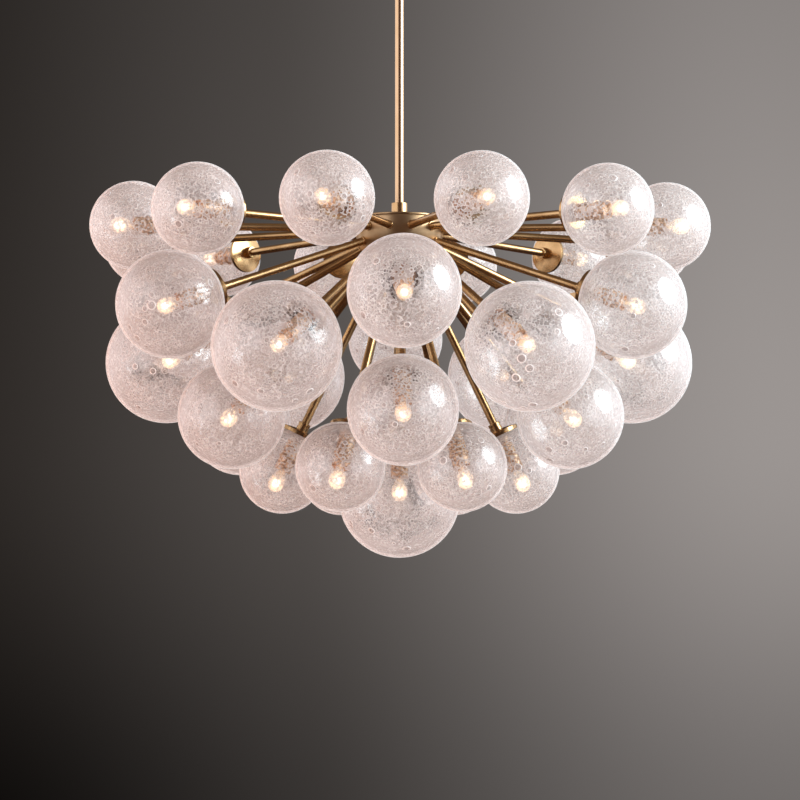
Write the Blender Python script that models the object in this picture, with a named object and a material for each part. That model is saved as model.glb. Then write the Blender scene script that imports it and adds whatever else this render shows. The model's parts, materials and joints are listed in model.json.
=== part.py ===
"""Bubble chandelier: glass globes of three sizes on brass arms that fan out from one hub.

Metres, +Z up. The origin is the middle of the ceiling plate's top face, and the front is -Y. All that hangs
below the swivel is rod, hub, arms and globes. The globes' centres lie on the lower half of one sphere round
the hub's centre, in rows, and that sphere is just wide enough to keep the closest two globes apart.
"""

import math
from itertools import combinations
from typing import NamedTuple

import bmesh
import bpy
from mathutils import Matrix, Vector

MM = 0.001
INCH = 0.0254

# Clearances
SEAT_GAP = 0.3 * MM
OVERRUN = 5 * MM
GLOBE_GAP = 19.5 * MM

# Glass globes, which come in whole inches
SMALL_GLOBE = 5 * INCH
MEDIUM_GLOBE = 6 * INCH
LARGE_GLOBE = 7 * INCH
GLASS_WALL = 3.2 * MM

# Arm, the collar and cap at its end, and the socket and lamp inside the globe
ARM_RADIUS = 4.75 * MM
COLLAR_RADIUS = 9 * MM
COLLAR_LENGTH = 11 * MM
CAP_RADIUS = 30 * MM
CAP_WALL = 1.6 * MM
SOCKET_RADIUS = 12.5 * MM
BULB_RADIUS = 9 * MM
BULB_NECK_RADIUS = 6 * MM
BULB_LENGTH = 34 * MM
BULB_TIP_GAP = 25.3 * MM
BULB_WIDEST_SHARE = 0.7

# Hub
RING_LAND = 0.8 * MM
ARM_SINK = 6.7 * MM
ROOT_COVER = 3.3 * MM
HUB_RIM = 14 * MM
LID_THICKNESS = 3 * MM
LID_CHAMFER = 1 * MM
SPIGOT_DEPTH = 4 * MM
STEM_RADIUS = 4.7 * MM
STEM_IN_ROD = 25 * MM
BUTTON_BOSS_RADIUS = 12 * MM
BUTTON_BOSS_HEIGHT = 13 * MM
STEM_IN_BUTTON = 10 * MM
LOCKNUT_RADIUS = 9.8 * MM
LOCKNUT_HEIGHT = 8 * MM

# Rod
ROD_RADIUS = 6.5 * MM
ROD_LENGTH = 350 * MM
ROD_COLLAR_WALL = 5 * MM
ROD_COLLAR_HEIGHT = 21 * MM
ROD_COLLAR_CHAMFER = 0.8 * MM

# Swivel
EYE_RADIUS = 11 * MM
PIN_RADIUS = 3 * MM
PIN_HEAD_RADIUS = 5 * MM
PIN_HEAD_HEIGHT = 2.5 * MM
PIN_NUT_RADIUS = 5.8 * MM
PIN_NUT_HEIGHT = 4 * MM
PIN_END = 1.5 * MM
TONGUE_THICKNESS = 9.4 * MM
CHEEK_THICKNESS = 5 * MM
BRIDGE_THICKNESS = 7 * MM
EYE_CLEARANCE = 1 * MM
SHOULDER_DROP = 3 * MM
KNUCKLE_WALL = 3.2 * MM
KNUCKLE_LENGTH = 18 * MM
ROD_SOCKET_DEPTH = 10 * MM
YOKE_DROP = 1.5 * MM
YOKE_NECK_RADIUS = 5 * MM
YOKE_HEAD_RADIUS = 8 * MM
YOKE_HEAD_HEIGHT = 5 * MM
BUSH_RADIUS = 13 * MM
BUSH_SHOW = 1.5 * MM
BUSH_CHAMFER = 1 * MM
BUSH_SHOULDER = 11.5 * MM

# Canopy and ceiling plate
CANOPY_RADIUS = 63.5 * MM
CANOPY_DEPTH = 30 * MM
CANOPY_WALL = 1.5 * MM
CANOPY_ROUND = 8 * MM
PLATE_INSET = 7 * MM
PLATE_THICKNESS = 3 * MM
PLATE_BOSS_DEPTH = 5 * MM
STUD_INSET = 10.5 * MM
STUD_RADIUS = 2 * MM
STUD_SHOW = 6 * MM
KNOB_RADIUS = 6.5 * MM
KNOB_HEIGHT = 11 * MM
SLOT_LENGTH = 14 * MM
SLOT_WIDTH = 5 * MM
SLOT_LAND = 1.2 * MM
WIRE_HOLE_RADIUS = 7 * MM
TERMINAL_LENGTH = 30 * MM
TERMINAL_WIDTH = 14 * MM
TERMINAL_HEIGHT = 12 * MM
TERMINAL_CHAMFER = 1 * MM
TERMINAL_WAYS = 3
TERMINAL_HOLE_RADIUS = 2.2 * MM
TERMINAL_HOLE_DEPTH = 6 * MM

# Sides of the turned pieces
HOLDER_SIDES = 6
SMALL_GLOBE_SIDES = 10
GLOBE_SIDES = 12
SMALL_SIDES = 12
HUB_SIDES = 24
GLOBE_BANDS = 4
SHARP_ANGLE = math.radians(35)


class Row(NamedTuple):
    """One row of globes round the hub. Azimuth 0 is the front and turns towards +X."""

    name: str
    count: int
    first_azimuth: float
    elevation: float
    globe: float
    sides: int


class Finish(NamedTuple):
    """The look of one material."""

    color: tuple
    metallic: float
    roughness: float
    transmission: float = 0.0


ROWS = (
    Row("top", 12, 15.0, -1.3, SMALL_GLOBE, SMALL_GLOBE_SIDES),
    Row("upper", 6, 0.0, -19.3, MEDIUM_GLOBE, GLOBE_SIDES),
    Row("middle", 6, 30.0, -30.1, LARGE_GLOBE, GLOBE_SIDES),
    Row("lower", 6, 0.0, -45.7, MEDIUM_GLOBE, GLOBE_SIDES),
    Row("bottom", 6, 30.0, -64.3, SMALL_GLOBE, SMALL_GLOBE_SIDES),
    Row("centre", 1, 0.0, -90.0, LARGE_GLOBE, GLOBE_SIDES),
)
FINISHES = {
    "brass": Finish((0.52, 0.36, 0.20), 1.0, 0.32),
    "glass": Finish((0.95, 0.93, 0.92), 0.0, 0.05, 1.0),
    "steel": Finish((0.55, 0.55, 0.56), 1.0, 0.35),
    "plastic": Finish((0.80, 0.78, 0.72), 0.0, 0.55),
}


def direction(azimuth, elevation):
    """Unit vector from the hub's centre towards a globe."""
    turn = math.radians(azimuth)
    rise = math.radians(elevation)
    level = math.cos(rise)
    return Vector((level * math.sin(turn), -level * math.cos(turn), math.sin(rise)))


def directions(row):
    """Unit vectors towards each globe of a row, in order round the hub."""
    step = 360 / row.count
    return [direction(row.first_azimuth + step * index, row.elevation) for index in range(row.count)]


def other_side(hypotenuse, side):
    """The other short side of a right-angled triangle."""
    return math.sqrt(hypotenuse**2 - side**2)


def row_borders():
    """Elevations half way between neighbouring rows, where one hub ring seats on the next."""
    return [math.radians(a.elevation + b.elevation) / 2 for a, b in zip(ROWS, ROWS[1:])]


def least_border_angle():
    """The smallest angle between a row of arms and the border of its hub ring."""
    return min(math.radians(a.elevation - b.elevation) / 2 for a, b in zip(ROWS, ROWS[1:]))


def sphere_of_centres():
    """Radius of the sphere of globe centres, at which the closest two globes keep GLOBE_GAP."""
    globes = [(aim, row.globe / 2) for row in ROWS for aim in directions(row)]
    needed = [(a[1] + b[1] + GLOBE_GAP) / (a[0] - b[0]).length for a, b in combinations(globes, 2)]
    return max(needed)


# Places worked out from the sizes above
REACH = sphere_of_centres()
ARM_ROOT = (ARM_RADIUS + RING_LAND) / math.sin(least_border_angle())
HUB_RADIUS = ARM_ROOT + ARM_SINK
CHAMBER_RADIUS = ARM_ROOT - ROOT_COVER
STEM_HOLE_RADIUS = STEM_RADIUS + SEAT_GAP
PIN_HOLE_RADIUS = PIN_RADIUS + SEAT_GAP
STUD_HOLE_RADIUS = STUD_RADIUS + SEAT_GAP
BUSH_TOP = -PLATE_THICKNESS - SEAT_GAP
BUSH_BOTTOM = -CANOPY_DEPTH - BUSH_SHOW
BRIDGE_TOP = BUSH_BOTTOM - YOKE_DROP
BRIDGE_RISE = EYE_RADIUS + EYE_CLEARANCE
PIN_HEIGHT = BRIDGE_TOP - BRIDGE_THICKNESS - BRIDGE_RISE
SHOULDER_HEIGHT = PIN_HEIGHT - EYE_RADIUS - SHOULDER_DROP
KNUCKLE_BOTTOM = SHOULDER_HEIGHT - KNUCKLE_LENGTH
ROD_TOP = KNUCKLE_BOTTOM + ROD_SOCKET_DEPTH - SEAT_GAP
LID_TOP = ROD_TOP - ROD_LENGTH - SEAT_GAP
LID_RISE = HUB_RIM + SEAT_GAP + LID_THICKNESS
HUB_HEIGHT = LID_TOP - LID_RISE
PLATE_RADIUS = CANOPY_RADIUS - CANOPY_WALL - PLATE_INSET
STUD_PLACE = PLATE_RADIUS - STUD_INSET
SLOT_PLACE = STUD_PLACE - STUD_HOLE_RADIUS - SLOT_LAND - SLOT_LENGTH / 2
BETWEEN_BUSH_AND_EDGE = (BUSH_RADIUS + PLATE_RADIUS) / 2


def make_material(name, finish):
    """A Principled material with one finish."""
    material = bpy.data.materials.new(name)
    material.use_nodes = True
    shader = material.node_tree.nodes["Principled BSDF"]
    shader.inputs["Base Color"].default_value = (*finish.color, 1.0)
    shader.inputs["Metallic"].default_value = finish.metallic
    shader.inputs["Roughness"].default_value = finish.roughness
    shader.inputs["Transmission Weight"].default_value = finish.transmission
    return material


def make_empty(name, parent, height):
    """An empty on the vertical axis that carries pieces, at a height in the world."""
    empty = bpy.data.objects.new(name, None)
    bpy.context.scene.collection.objects.link(empty)
    empty.parent = parent
    empty.location = (0, 0, height - (parent.matrix_world.translation.z if parent else 0))
    bpy.context.view_layer.update()
    return empty


def make_mesh(bm, name):
    """A mesh of the bmesh, smooth but for its sharp edges."""
    bmesh.ops.recalc_face_normals(bm, faces=bm.faces)
    mesh = bpy.data.meshes.new(name)
    bm.to_mesh(mesh)
    bm.free()
    mesh.shade_smooth()
    mesh.set_sharp_from_angle(angle=SHARP_ANGLE)
    return mesh


def make_piece(name, mesh, material, parent, location=(0, 0, 0), aim=None):
    """A named piece of the chandelier; aim turns its local +Z that way."""
    piece = bpy.data.objects.new(name, mesh)
    bpy.context.scene.collection.objects.link(piece)
    if material and not mesh.materials:
        mesh.materials.append(material)
    piece.parent = parent
    piece.location = location
    if aim:
        piece.rotation_euler = aim.to_track_quat("Z", "Y").to_euler()
    return piece


def combine(piece, operation, mesh, location=(0, 0, 0)):
    """Join a shape to a piece or cut it out of it; the shape is a hidden helper in the piece's own frame."""
    helper = make_piece(f"{piece.name}_{operation.lower()}", mesh, None, piece, location)
    helper.hide_render = True
    helper.display_type = "WIRE"
    modifier = piece.modifiers.new(operation.title(), "BOOLEAN")
    modifier.operation = operation
    modifier.object = helper


def add_ring(bm, radius, height, sides, phase):
    """One ring of a turned shape, or a single point where its radius is 0."""
    if radius == 0:
        return [bm.verts.new((0, 0, height))]
    turns = [phase + math.tau * index / sides for index in range(sides)]
    return [bm.verts.new((radius * math.cos(turn), radius * math.sin(turn), height)) for turn in turns]


def join_rings(bm, low, high):
    """Faces between two rings, walking round both, so that rings of unlike counts meet in triangles."""
    if len(low) == len(high):
        for index, corner in enumerate(low):
            after = (index + 1) % len(low)
            bm.faces.new((corner, low[after], high[after], high[index]))
        return
    i = j = 0
    while i < len(low) or j < len(high):
        here = (low[i % len(low)], high[j % len(high)])
        if len(high) == 1 or (len(low) > 1 and (i + 1) * len(high) <= (j + 1) * len(low)):
            i += 1
            after = low[i % len(low)]
        else:
            j += 1
            after = high[j % len(high)]
        bm.faces.new((here[0], after, here[1]))
        if (len(low) == 1 and j == len(high)) or (len(high) == 1 and i == len(low)):
            return


def add_turned(bm, profile, closed=False, phase=0.0):
    """Turn a profile of (radius, height, sides) points about local Z, and return the new vertices."""
    rings = [add_ring(bm, *point, phase) for point in profile]
    for low, high in zip(rings, rings[1:]):
        join_rings(bm, low, high)
    if closed:
        join_rings(bm, rings[-1], rings[0])
    return [vertex for ring in rings for vertex in ring]


def turned(name, profile, closed=False, phase=0.0):
    """A mesh turned about local Z; an open profile starts and ends on the axis."""
    bm = bmesh.new()
    add_turned(bm, profile, closed, phase)
    return make_mesh(bm, name)


def with_sides(points, sides):
    """A profile's (radius, height) points, all with the same count of sides."""
    return [(radius, height, sides) for radius, height in points]


def rod_between(name, radius, low, high, sides=SMALL_SIDES):
    """A plain round bar along local Z."""
    points = [(0, low), (radius, low), (radius, high), (0, high)]
    return turned(name, with_sides(points, sides))


def tube_between(name, inner, outer, low, high, sides=SMALL_SIDES):
    """A plain round tube along local Z."""
    points = [(outer, high), (outer, low), (inner, low), (inner, high)]
    return turned(name, with_sides(points, sides), closed=True)


def slab(name, outline, low, high, turn=None):
    """An outline in local XY extruded from low to high, then turned by a matrix."""
    bm = bmesh.new()
    corners = [bm.verts.new((x, y, low)) for x, y in outline]
    base = bm.faces.new(corners)
    grown = bmesh.ops.extrude_face_region(bm, geom=[base])["geom"]
    raised = [part for part in grown if isinstance(part, bmesh.types.BMVert)]
    bmesh.ops.translate(bm, vec=(0, 0, high - low), verts=raised)
    if turn:
        bmesh.ops.transform(bm, matrix=turn, verts=bm.verts)
    return make_mesh(bm, name)


def arc(centre_x, centre_y, radius, start, end, steps):
    """Points along an arc, with angles in degrees."""
    turns = [math.radians(start + (end - start) * index / steps) for index in range(steps + 1)]
    return [(centre_x + radius * math.cos(turn), centre_y + radius * math.sin(turn)) for turn in turns]


def slot_outline(centre_x, length, width, steps=6):
    """A slot with round ends along X."""
    half = (length - width) / 2
    right = arc(centre_x + half, 0, width / 2, -90, 90, steps)
    left = arc(centre_x - half, 0, width / 2, 90, 270, steps)
    return right + left


def rectangle(width, depth):
    """The corners of a rectangle round the origin."""
    x = width / 2
    y = depth / 2
    return [(-x, -y), (x, -y), (x, y), (-x, y)]


def seat_distance(globe):
    """Distance from a globe's centre back to its ground neck, where the cap's underside rests."""
    return other_side(globe / 2, CAP_RADIUS)


def socket_length():
    """Length of the socket under the cap, at which the lamp's tip clears the smallest globe's far wall."""
    far_wall = seat_distance(SMALL_GLOBE) + SMALL_GLOBE / 2 - GLASS_WALL
    return far_wall - BULB_TIP_GAP - BULB_LENGTH


def holder_profile(row):
    """The arm's end outwards from its root: collar, domed cap, socket and lamp, as distances from the hub."""
    seat = REACH - seat_distance(row.globe) - SEAT_GAP
    crown = REACH - row.globe / 2 - SEAT_GAP - CAP_WALL
    rise = seat - crown
    dome = (CAP_RADIUS**2 + rise**2) / (2 * rise)
    collar_end = crown + dome - other_side(dome, COLLAR_RADIUS)
    socket_end = seat + socket_length()
    return [
        (ARM_RADIUS, crown - COLLAR_LENGTH, HOLDER_SIDES),
        (COLLAR_RADIUS, crown - COLLAR_LENGTH, HOLDER_SIDES),
        (COLLAR_RADIUS, collar_end, HOLDER_SIDES),
        (CAP_RADIUS, seat, row.sides),
        (SOCKET_RADIUS, seat, HOLDER_SIDES),
        (SOCKET_RADIUS, socket_end, HOLDER_SIDES),
        (BULB_NECK_RADIUS, socket_end, HOLDER_SIDES),
        (BULB_RADIUS, socket_end + BULB_LENGTH * BULB_WIDEST_SHARE, HOLDER_SIDES),
        (0, socket_end + BULB_LENGTH, HOLDER_SIDES),
    ]


def row_of_arms(row):
    """All arms of a row in one mesh, each turned from its root inside the hub ring's wall."""
    bm = bmesh.new()
    root = [(0, ARM_ROOT, HOLDER_SIDES), (ARM_RADIUS, ARM_ROOT, HOLDER_SIDES)]
    for aim in directions(row):
        corners = add_turned(bm, root + holder_profile(row))
        turn = aim.to_track_quat("Z", "Y").to_matrix().to_4x4()
        bmesh.ops.transform(bm, matrix=turn, verts=corners)
    return make_mesh(bm, f"arms_{row.name}")


def on_sphere(radius, elevation, offset):
    """(radius, height) where a cone from the hub's centre, moved up by an offset, meets a sphere."""
    along = other_side(radius, offset)
    level = math.cos(elevation)
    rise = math.sin(elevation)
    return along * level - offset * rise, along * rise + offset * level


def ring_profile(top, bottom):
    """A hub ring's wall between two borders; a top of None is the flat rim under the lid."""
    if top is None:
        outer_top = (other_side(HUB_RADIUS, HUB_RIM), HUB_RIM)
        inner_top = (other_side(CHAMBER_RADIUS, HUB_RIM), HUB_RIM)
        middle = 0
    else:
        outer_top = on_sphere(HUB_RADIUS, top, -SEAT_GAP / 2)
        inner_top = on_sphere(CHAMBER_RADIUS, top, -SEAT_GAP / 2)
        middle = (top + bottom) / 2
    outer_middle = on_sphere(HUB_RADIUS, middle, 0)
    outer_bottom = on_sphere(HUB_RADIUS, bottom, SEAT_GAP / 2)
    inner_bottom = on_sphere(CHAMBER_RADIUS, bottom, SEAT_GAP / 2)
    return [outer_top, outer_middle, outer_bottom, inner_bottom, inner_top]


def make_arm_rings(hub, brass):
    """One turned ring of the hub for each row, with that row's arms fused into it."""
    borders = [None, *row_borders()]
    half_side = math.pi / HUB_SIDES
    for row, top, bottom in zip(ROWS, borders, borders[1:]):
        profile = with_sides(ring_profile(top, bottom), HUB_SIDES)
        ring = turned(f"hub_ring_{row.name}", profile, closed=True, phase=half_side)
        piece = make_piece(f"arm_ring_{row.name}", ring, brass, hub)
        combine(piece, "UNION", row_of_arms(row))


def make_centre_arm(hub, brass):
    """The arm straight below, turned in one with the button that closes the bowl and takes the stem's end."""
    border = -row_borders()[-1]
    inner_edge = on_sphere(CHAMBER_RADIUS, border, SEAT_GAP / 2)
    outer_edge = on_sphere(HUB_RADIUS, border, SEAT_GAP / 2)
    boss_top = other_side(CHAMBER_RADIUS, BUTTON_BOSS_RADIUS) - BUTTON_BOSS_HEIGHT
    button = [
        (0, boss_top + STEM_IN_BUTTON),
        (STEM_HOLE_RADIUS, boss_top + STEM_IN_BUTTON),
        (STEM_HOLE_RADIUS, boss_top),
        (BUTTON_BOSS_RADIUS, boss_top),
        (BUTTON_BOSS_RADIUS, other_side(CHAMBER_RADIUS, BUTTON_BOSS_RADIUS)),
        inner_edge,
        outer_edge,
    ]
    arm = [(ARM_RADIUS, other_side(HUB_RADIUS, ARM_RADIUS), HOLDER_SIDES)]
    profile = with_sides(button[:3], SMALL_SIDES) + with_sides(button[3:], HUB_SIDES) + arm
    mesh = turned("centre_arm", profile + holder_profile(ROWS[-1]))
    make_piece("arm_centre", mesh, brass, hub, aim=Vector((0, 0, -1)))
    make_piece("hub_stem", stem_mesh(-boss_top), brass, hub)
    locknut_top = SEAT_GAP + LOCKNUT_HEIGHT
    locknut = hex_nut("hub_locknut", STEM_HOLE_RADIUS, LOCKNUT_RADIUS, SEAT_GAP, locknut_top)
    make_piece("hub_locknut", locknut, bpy.data.materials["steel"], hub, (0, 0, -boss_top))


def stem_mesh(boss_top):
    """The threaded tube that ties rod, lid and button together."""
    bottom = boss_top - STEM_IN_BUTTON + SEAT_GAP
    return rod_between("hub_stem", STEM_RADIUS, bottom, LID_RISE + STEM_IN_ROD)


def hex_nut(name, hole, corner, low, high):
    """A six-sided nut round a hole."""
    profile = [(corner, high, 6), (corner, low, 6), (hole, low, SMALL_SIDES), (hole, high, SMALL_SIDES)]
    return turned(name, profile, closed=True)


def make_lid(hub, brass):
    """The flat lid on the bowl's rim, with a spigot that drops into the wiring chamber."""
    bottom = HUB_RIM + SEAT_GAP
    edge = other_side(HUB_RADIUS, HUB_RIM)
    spigot = other_side(CHAMBER_RADIUS, HUB_RIM) - SEAT_GAP
    points = [
        (STEM_HOLE_RADIUS, LID_RISE),
        (edge - LID_CHAMFER, LID_RISE),
        (edge, LID_RISE - LID_CHAMFER),
        (edge, bottom),
        (spigot, bottom),
        (spigot, bottom - SPIGOT_DEPTH),
        (STEM_HOLE_RADIUS, bottom - SPIGOT_DEPTH),
    ]
    profile = with_sides(points, HUB_SIDES)
    mesh = turned("hub_lid", profile, closed=True, phase=math.pi / HUB_SIDES)
    make_piece("hub_lid", mesh, brass, hub)


def make_rod(hub, brass):
    """The rod, open through its middle, and the collar that grips its foot on the lid."""
    tube_top = ROD_TOP - HUB_HEIGHT
    rod = tube_between("down_rod", STEM_HOLE_RADIUS, ROD_RADIUS, tube_top - ROD_LENGTH, tube_top)
    make_piece("down_rod", rod, brass, hub)
    inner = ROD_RADIUS + SEAT_GAP
    outer = inner + ROD_COLLAR_WALL
    low = LID_RISE + SEAT_GAP
    high = LID_RISE + ROD_COLLAR_HEIGHT
    points = [
        (inner, high),
        (outer - ROD_COLLAR_CHAMFER, high),
        (outer, high - ROD_COLLAR_CHAMFER),
        (outer, low),
        (inner, low),
    ]
    collar = turned("rod_collar", with_sides(points, SMALL_SIDES), closed=True)
    make_piece("rod_collar", collar, brass, hub)


def globe_mesh(row):
    """A hollow globe round its own centre, with its ground neck towards local -Z."""
    outer = row.globe / 2
    inner = outer - GLASS_WALL
    neck = -seat_distance(row.globe)
    points = []
    for radius, ordered in ((outer, 1), (inner, -1)):
        start = math.acos(neck / radius)
        turns = [start * index / GLOBE_BANDS for index in range(GLOBE_BANDS + 1)]
        arc_points = [(radius * math.sin(turn), radius * math.cos(turn)) for turn in turns]
        arc_points[0] = (0, radius)
        points += arc_points[::ordered]
    return turned(f"globe_{row.name}", with_sides(points, row.sides))


def make_globes(hub, glass):
    """Every globe at the end of its arm; globes of one row share a mesh."""
    for row in ROWS:
        mesh = globe_mesh(row)
        for index, aim in enumerate(directions(row), start=1):
            name = f"globe_{row.name}_{index:02d}" if row.count > 1 else f"globe_{row.name}"
            make_piece(name, mesh, glass, hub, aim * REACH, aim)


def make_knuckle(tilt, brass):
    """The rod's top end: a tongue with an eye for the pin, over a turned socket that takes the rod."""
    stand = Matrix.Rotation(math.radians(90), 4, "X")
    foot = -EYE_RADIUS - SHOULDER_DROP - OVERRUN
    outline = [(EYE_RADIUS, foot)] + arc(0, 0, EYE_RADIUS, 0, 180, 10) + [(-EYE_RADIUS, foot)]
    half = TONGUE_THICKNESS / 2
    tongue = slab("rod_knuckle", outline, -half, half, stand)
    piece = make_piece("rod_knuckle", tongue, brass, tilt)
    shoulder = SHOULDER_HEIGHT - PIN_HEIGHT
    bottom = KNUCKLE_BOTTOM - PIN_HEIGHT
    bore = ROD_RADIUS + SEAT_GAP
    outer = bore + KNUCKLE_WALL
    points = [
        (0, shoulder),
        (outer, shoulder),
        (outer, bottom),
        (bore, bottom),
        (bore, bottom + ROD_SOCKET_DEPTH),
        (0, bottom + ROD_SOCKET_DEPTH),
    ]
    combine(piece, "UNION", turned("knuckle_socket", with_sides(points, SMALL_SIDES)))
    combine(piece, "DIFFERENCE", cross_pin_hole())


def cross_pin_hole():
    """A cutter along Y for the pin, through tongue or cheeks."""
    reach = TONGUE_THICKNESS / 2 + SEAT_GAP + CHEEK_THICKNESS + OVERRUN
    mesh = rod_between("pin_hole", PIN_HOLE_RADIUS, -reach, reach)
    mesh.transform(Matrix.Rotation(math.radians(90), 4, "X"))
    return mesh


def make_yoke(swivel, brass, steel):
    """The fork that turns in the bush, with the pin across its cheeks and the nut on the pin's end."""
    stand = Matrix.Rotation(math.radians(90), 4, "X")
    slot_half = TONGUE_THICKNESS / 2 + SEAT_GAP
    fork_half = slot_half + CHEEK_THICKNESS
    pin = PIN_HEIGHT
    top = pin + BRIDGE_RISE + BRIDGE_THICKNESS
    outline = [(-EYE_RADIUS, top)] + arc(0, pin, EYE_RADIUS, 180, 360, 10) + [(EYE_RADIUS, top)]
    piece = make_piece("swivel_yoke", slab("yoke", outline, -fork_half, fork_half, stand), brass, swivel)
    head_bottom = BUSH_BOTTOM + BUSH_SHOULDER + SEAT_GAP
    points = [
        (0, head_bottom + YOKE_HEAD_HEIGHT),
        (YOKE_HEAD_RADIUS, head_bottom + YOKE_HEAD_HEIGHT),
        (YOKE_HEAD_RADIUS, head_bottom),
        (YOKE_NECK_RADIUS, head_bottom),
        (YOKE_NECK_RADIUS, top - BRIDGE_THICKNESS / 2),
        (0, top - BRIDGE_THICKNESS / 2),
    ]
    combine(piece, "UNION", turned("yoke_neck", with_sides(points, SMALL_SIDES)))
    slot_width = 2 * (EYE_RADIUS + OVERRUN)
    slot_low = pin - EYE_RADIUS - OVERRUN
    slot_high = pin + BRIDGE_RISE
    slot = slab("yoke_slot", rectangle(slot_width, 2 * slot_half), slot_low, slot_high)
    combine(piece, "DIFFERENCE", slot)
    combine(piece, "DIFFERENCE", cross_pin_hole(), (0, 0, pin))
    lie = Matrix.Rotation(math.radians(90), 4, "X")
    nut_low = fork_half + SEAT_GAP
    nut_high = nut_low + PIN_NUT_HEIGHT
    head_low = -fork_half - SEAT_GAP
    points = [
        (0, head_low - PIN_HEAD_HEIGHT),
        (PIN_HEAD_RADIUS, head_low - PIN_HEAD_HEIGHT),
        (PIN_HEAD_RADIUS, head_low),
        (PIN_RADIUS, head_low),
        (PIN_RADIUS, nut_high + PIN_END),
        (0, nut_high + PIN_END),
    ]
    shank = turned("swivel_pin", with_sides(points, SMALL_SIDES))
    nut = hex_nut("pin_nut", PIN_HOLE_RADIUS, PIN_NUT_RADIUS, nut_low, nut_high)
    for name, mesh in (("swivel_pin", shank), ("pin_nut", nut)):
        mesh.transform(lie)
        make_piece(name, mesh, steel, swivel, (0, 0, pin))


def make_bush(ceiling, brass):
    """The cup that screws on the plate's boss and carries the yoke's head on its shoulder."""
    chamber = YOKE_HEAD_RADIUS + SEAT_GAP
    bore = YOKE_NECK_RADIUS + SEAT_GAP
    shoulder = BUSH_BOTTOM + BUSH_SHOULDER
    points = [
        (chamber, BUSH_TOP),
        (BUSH_RADIUS, BUSH_TOP),
        (BUSH_RADIUS, BUSH_BOTTOM + BUSH_CHAMFER),
        (BUSH_RADIUS - BUSH_CHAMFER, BUSH_BOTTOM),
        (bore, BUSH_BOTTOM),
        (bore, shoulder),
        (chamber, shoulder),
    ]
    make_piece("swivel_bush", turned("swivel_bush", with_sides(points, SMALL_SIDES), closed=True), brass, ceiling)


def make_plate(ceiling, steel):
    """The round plate screwed to the ceiling box, with a boss, two slots, two stud holes and a wire hole."""
    boss = YOKE_HEAD_RADIUS
    points = [
        (0, 0),
        (PLATE_RADIUS, 0),
        (PLATE_RADIUS, -PLATE_THICKNESS),
        (boss, -PLATE_THICKNESS),
        (boss, -PLATE_THICKNESS - PLATE_BOSS_DEPTH),
        (0, -PLATE_THICKNESS - PLATE_BOSS_DEPTH),
    ]
    mesh = turned("plate", with_sides(points, HUB_SIDES), phase=math.pi / HUB_SIDES)
    piece = make_piece("ceiling_plate", mesh, steel, ceiling)
    low = -PLATE_THICKNESS - OVERRUN
    slots = [slot_outline(side * SLOT_PLACE, SLOT_LENGTH, SLOT_WIDTH) for side in (-1, 1)]
    holes = [slab("slot", outline, low, OVERRUN) for outline in slots]
    stud_hole = rod_between("stud_hole", STUD_HOLE_RADIUS, low, OVERRUN, HOLDER_SIDES)
    wire_hole = rod_between("wire_hole", WIRE_HOLE_RADIUS, low, OVERRUN)
    for mesh in holes:
        combine(piece, "DIFFERENCE", mesh)
    for side in (-1, 1):
        combine(piece, "DIFFERENCE", stud_hole, (side * STUD_PLACE, 0, 0))
    combine(piece, "DIFFERENCE", wire_hole, (0, -BETWEEN_BUSH_AND_EDGE, 0))


def make_canopy(ceiling, brass):
    """The spun dish against the ceiling, open round the bush and drilled for the studs."""
    wall = CANOPY_WALL
    hole = BUSH_RADIUS + SEAT_GAP
    corner = CANOPY_RADIUS - CANOPY_ROUND
    turn = CANOPY_ROUND - CANOPY_DEPTH
    outer = arc(corner, turn, CANOPY_ROUND, -90, 0, 3)
    inner = arc(corner, turn, CANOPY_ROUND - wall, 0, -90, 3)
    points = [(hole, -CANOPY_DEPTH), *outer, (CANOPY_RADIUS, 0), (CANOPY_RADIUS - wall, 0)]
    points += [*inner, (hole, wall - CANOPY_DEPTH)]
    mesh = turned("canopy", with_sides(points, HUB_SIDES), closed=True, phase=math.pi / HUB_SIDES)
    piece = make_piece("canopy", mesh, brass, ceiling)
    low = -CANOPY_DEPTH - OVERRUN
    stud_hole = rod_between("canopy_stud_hole", STUD_HOLE_RADIUS, low, low + 2 * OVERRUN + wall, HOLDER_SIDES)
    for side in (-1, 1):
        combine(piece, "DIFFERENCE", stud_hole, (side * STUD_PLACE, 0, 0))


def make_studs(ceiling, brass, steel):
    """Two studs from the plate through the canopy, each with a domed knob nut below."""
    bottom = -CANOPY_DEPTH - STUD_SHOW
    stud = rod_between("stud", STUD_RADIUS, bottom, -STUD_HOLE_RADIUS / 2, HOLDER_SIDES)
    top = -CANOPY_DEPTH - SEAT_GAP
    bore = STUD_HOLE_RADIUS
    end = bottom - SEAT_GAP
    half = top - KNOB_HEIGHT / 2
    points = [
        (0, end),
        (bore, end),
        (bore, top),
        (KNOB_RADIUS, top),
        (KNOB_RADIUS, half),
        ((KNOB_RADIUS + bore) / 2, (half + top - KNOB_HEIGHT) / 2 - SEAT_GAP),
        (0, top - KNOB_HEIGHT),
    ]
    knob = turned("knob", with_sides(points, SMALL_SIDES))
    for side, name in ((-1, "left"), (1, "right")):
        place = (side * STUD_PLACE, 0, 0)
        make_piece(f"canopy_stud_{name}", stud, steel, ceiling, place)
        make_piece(f"canopy_knob_{name}", knob, brass, ceiling, place)


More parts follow.
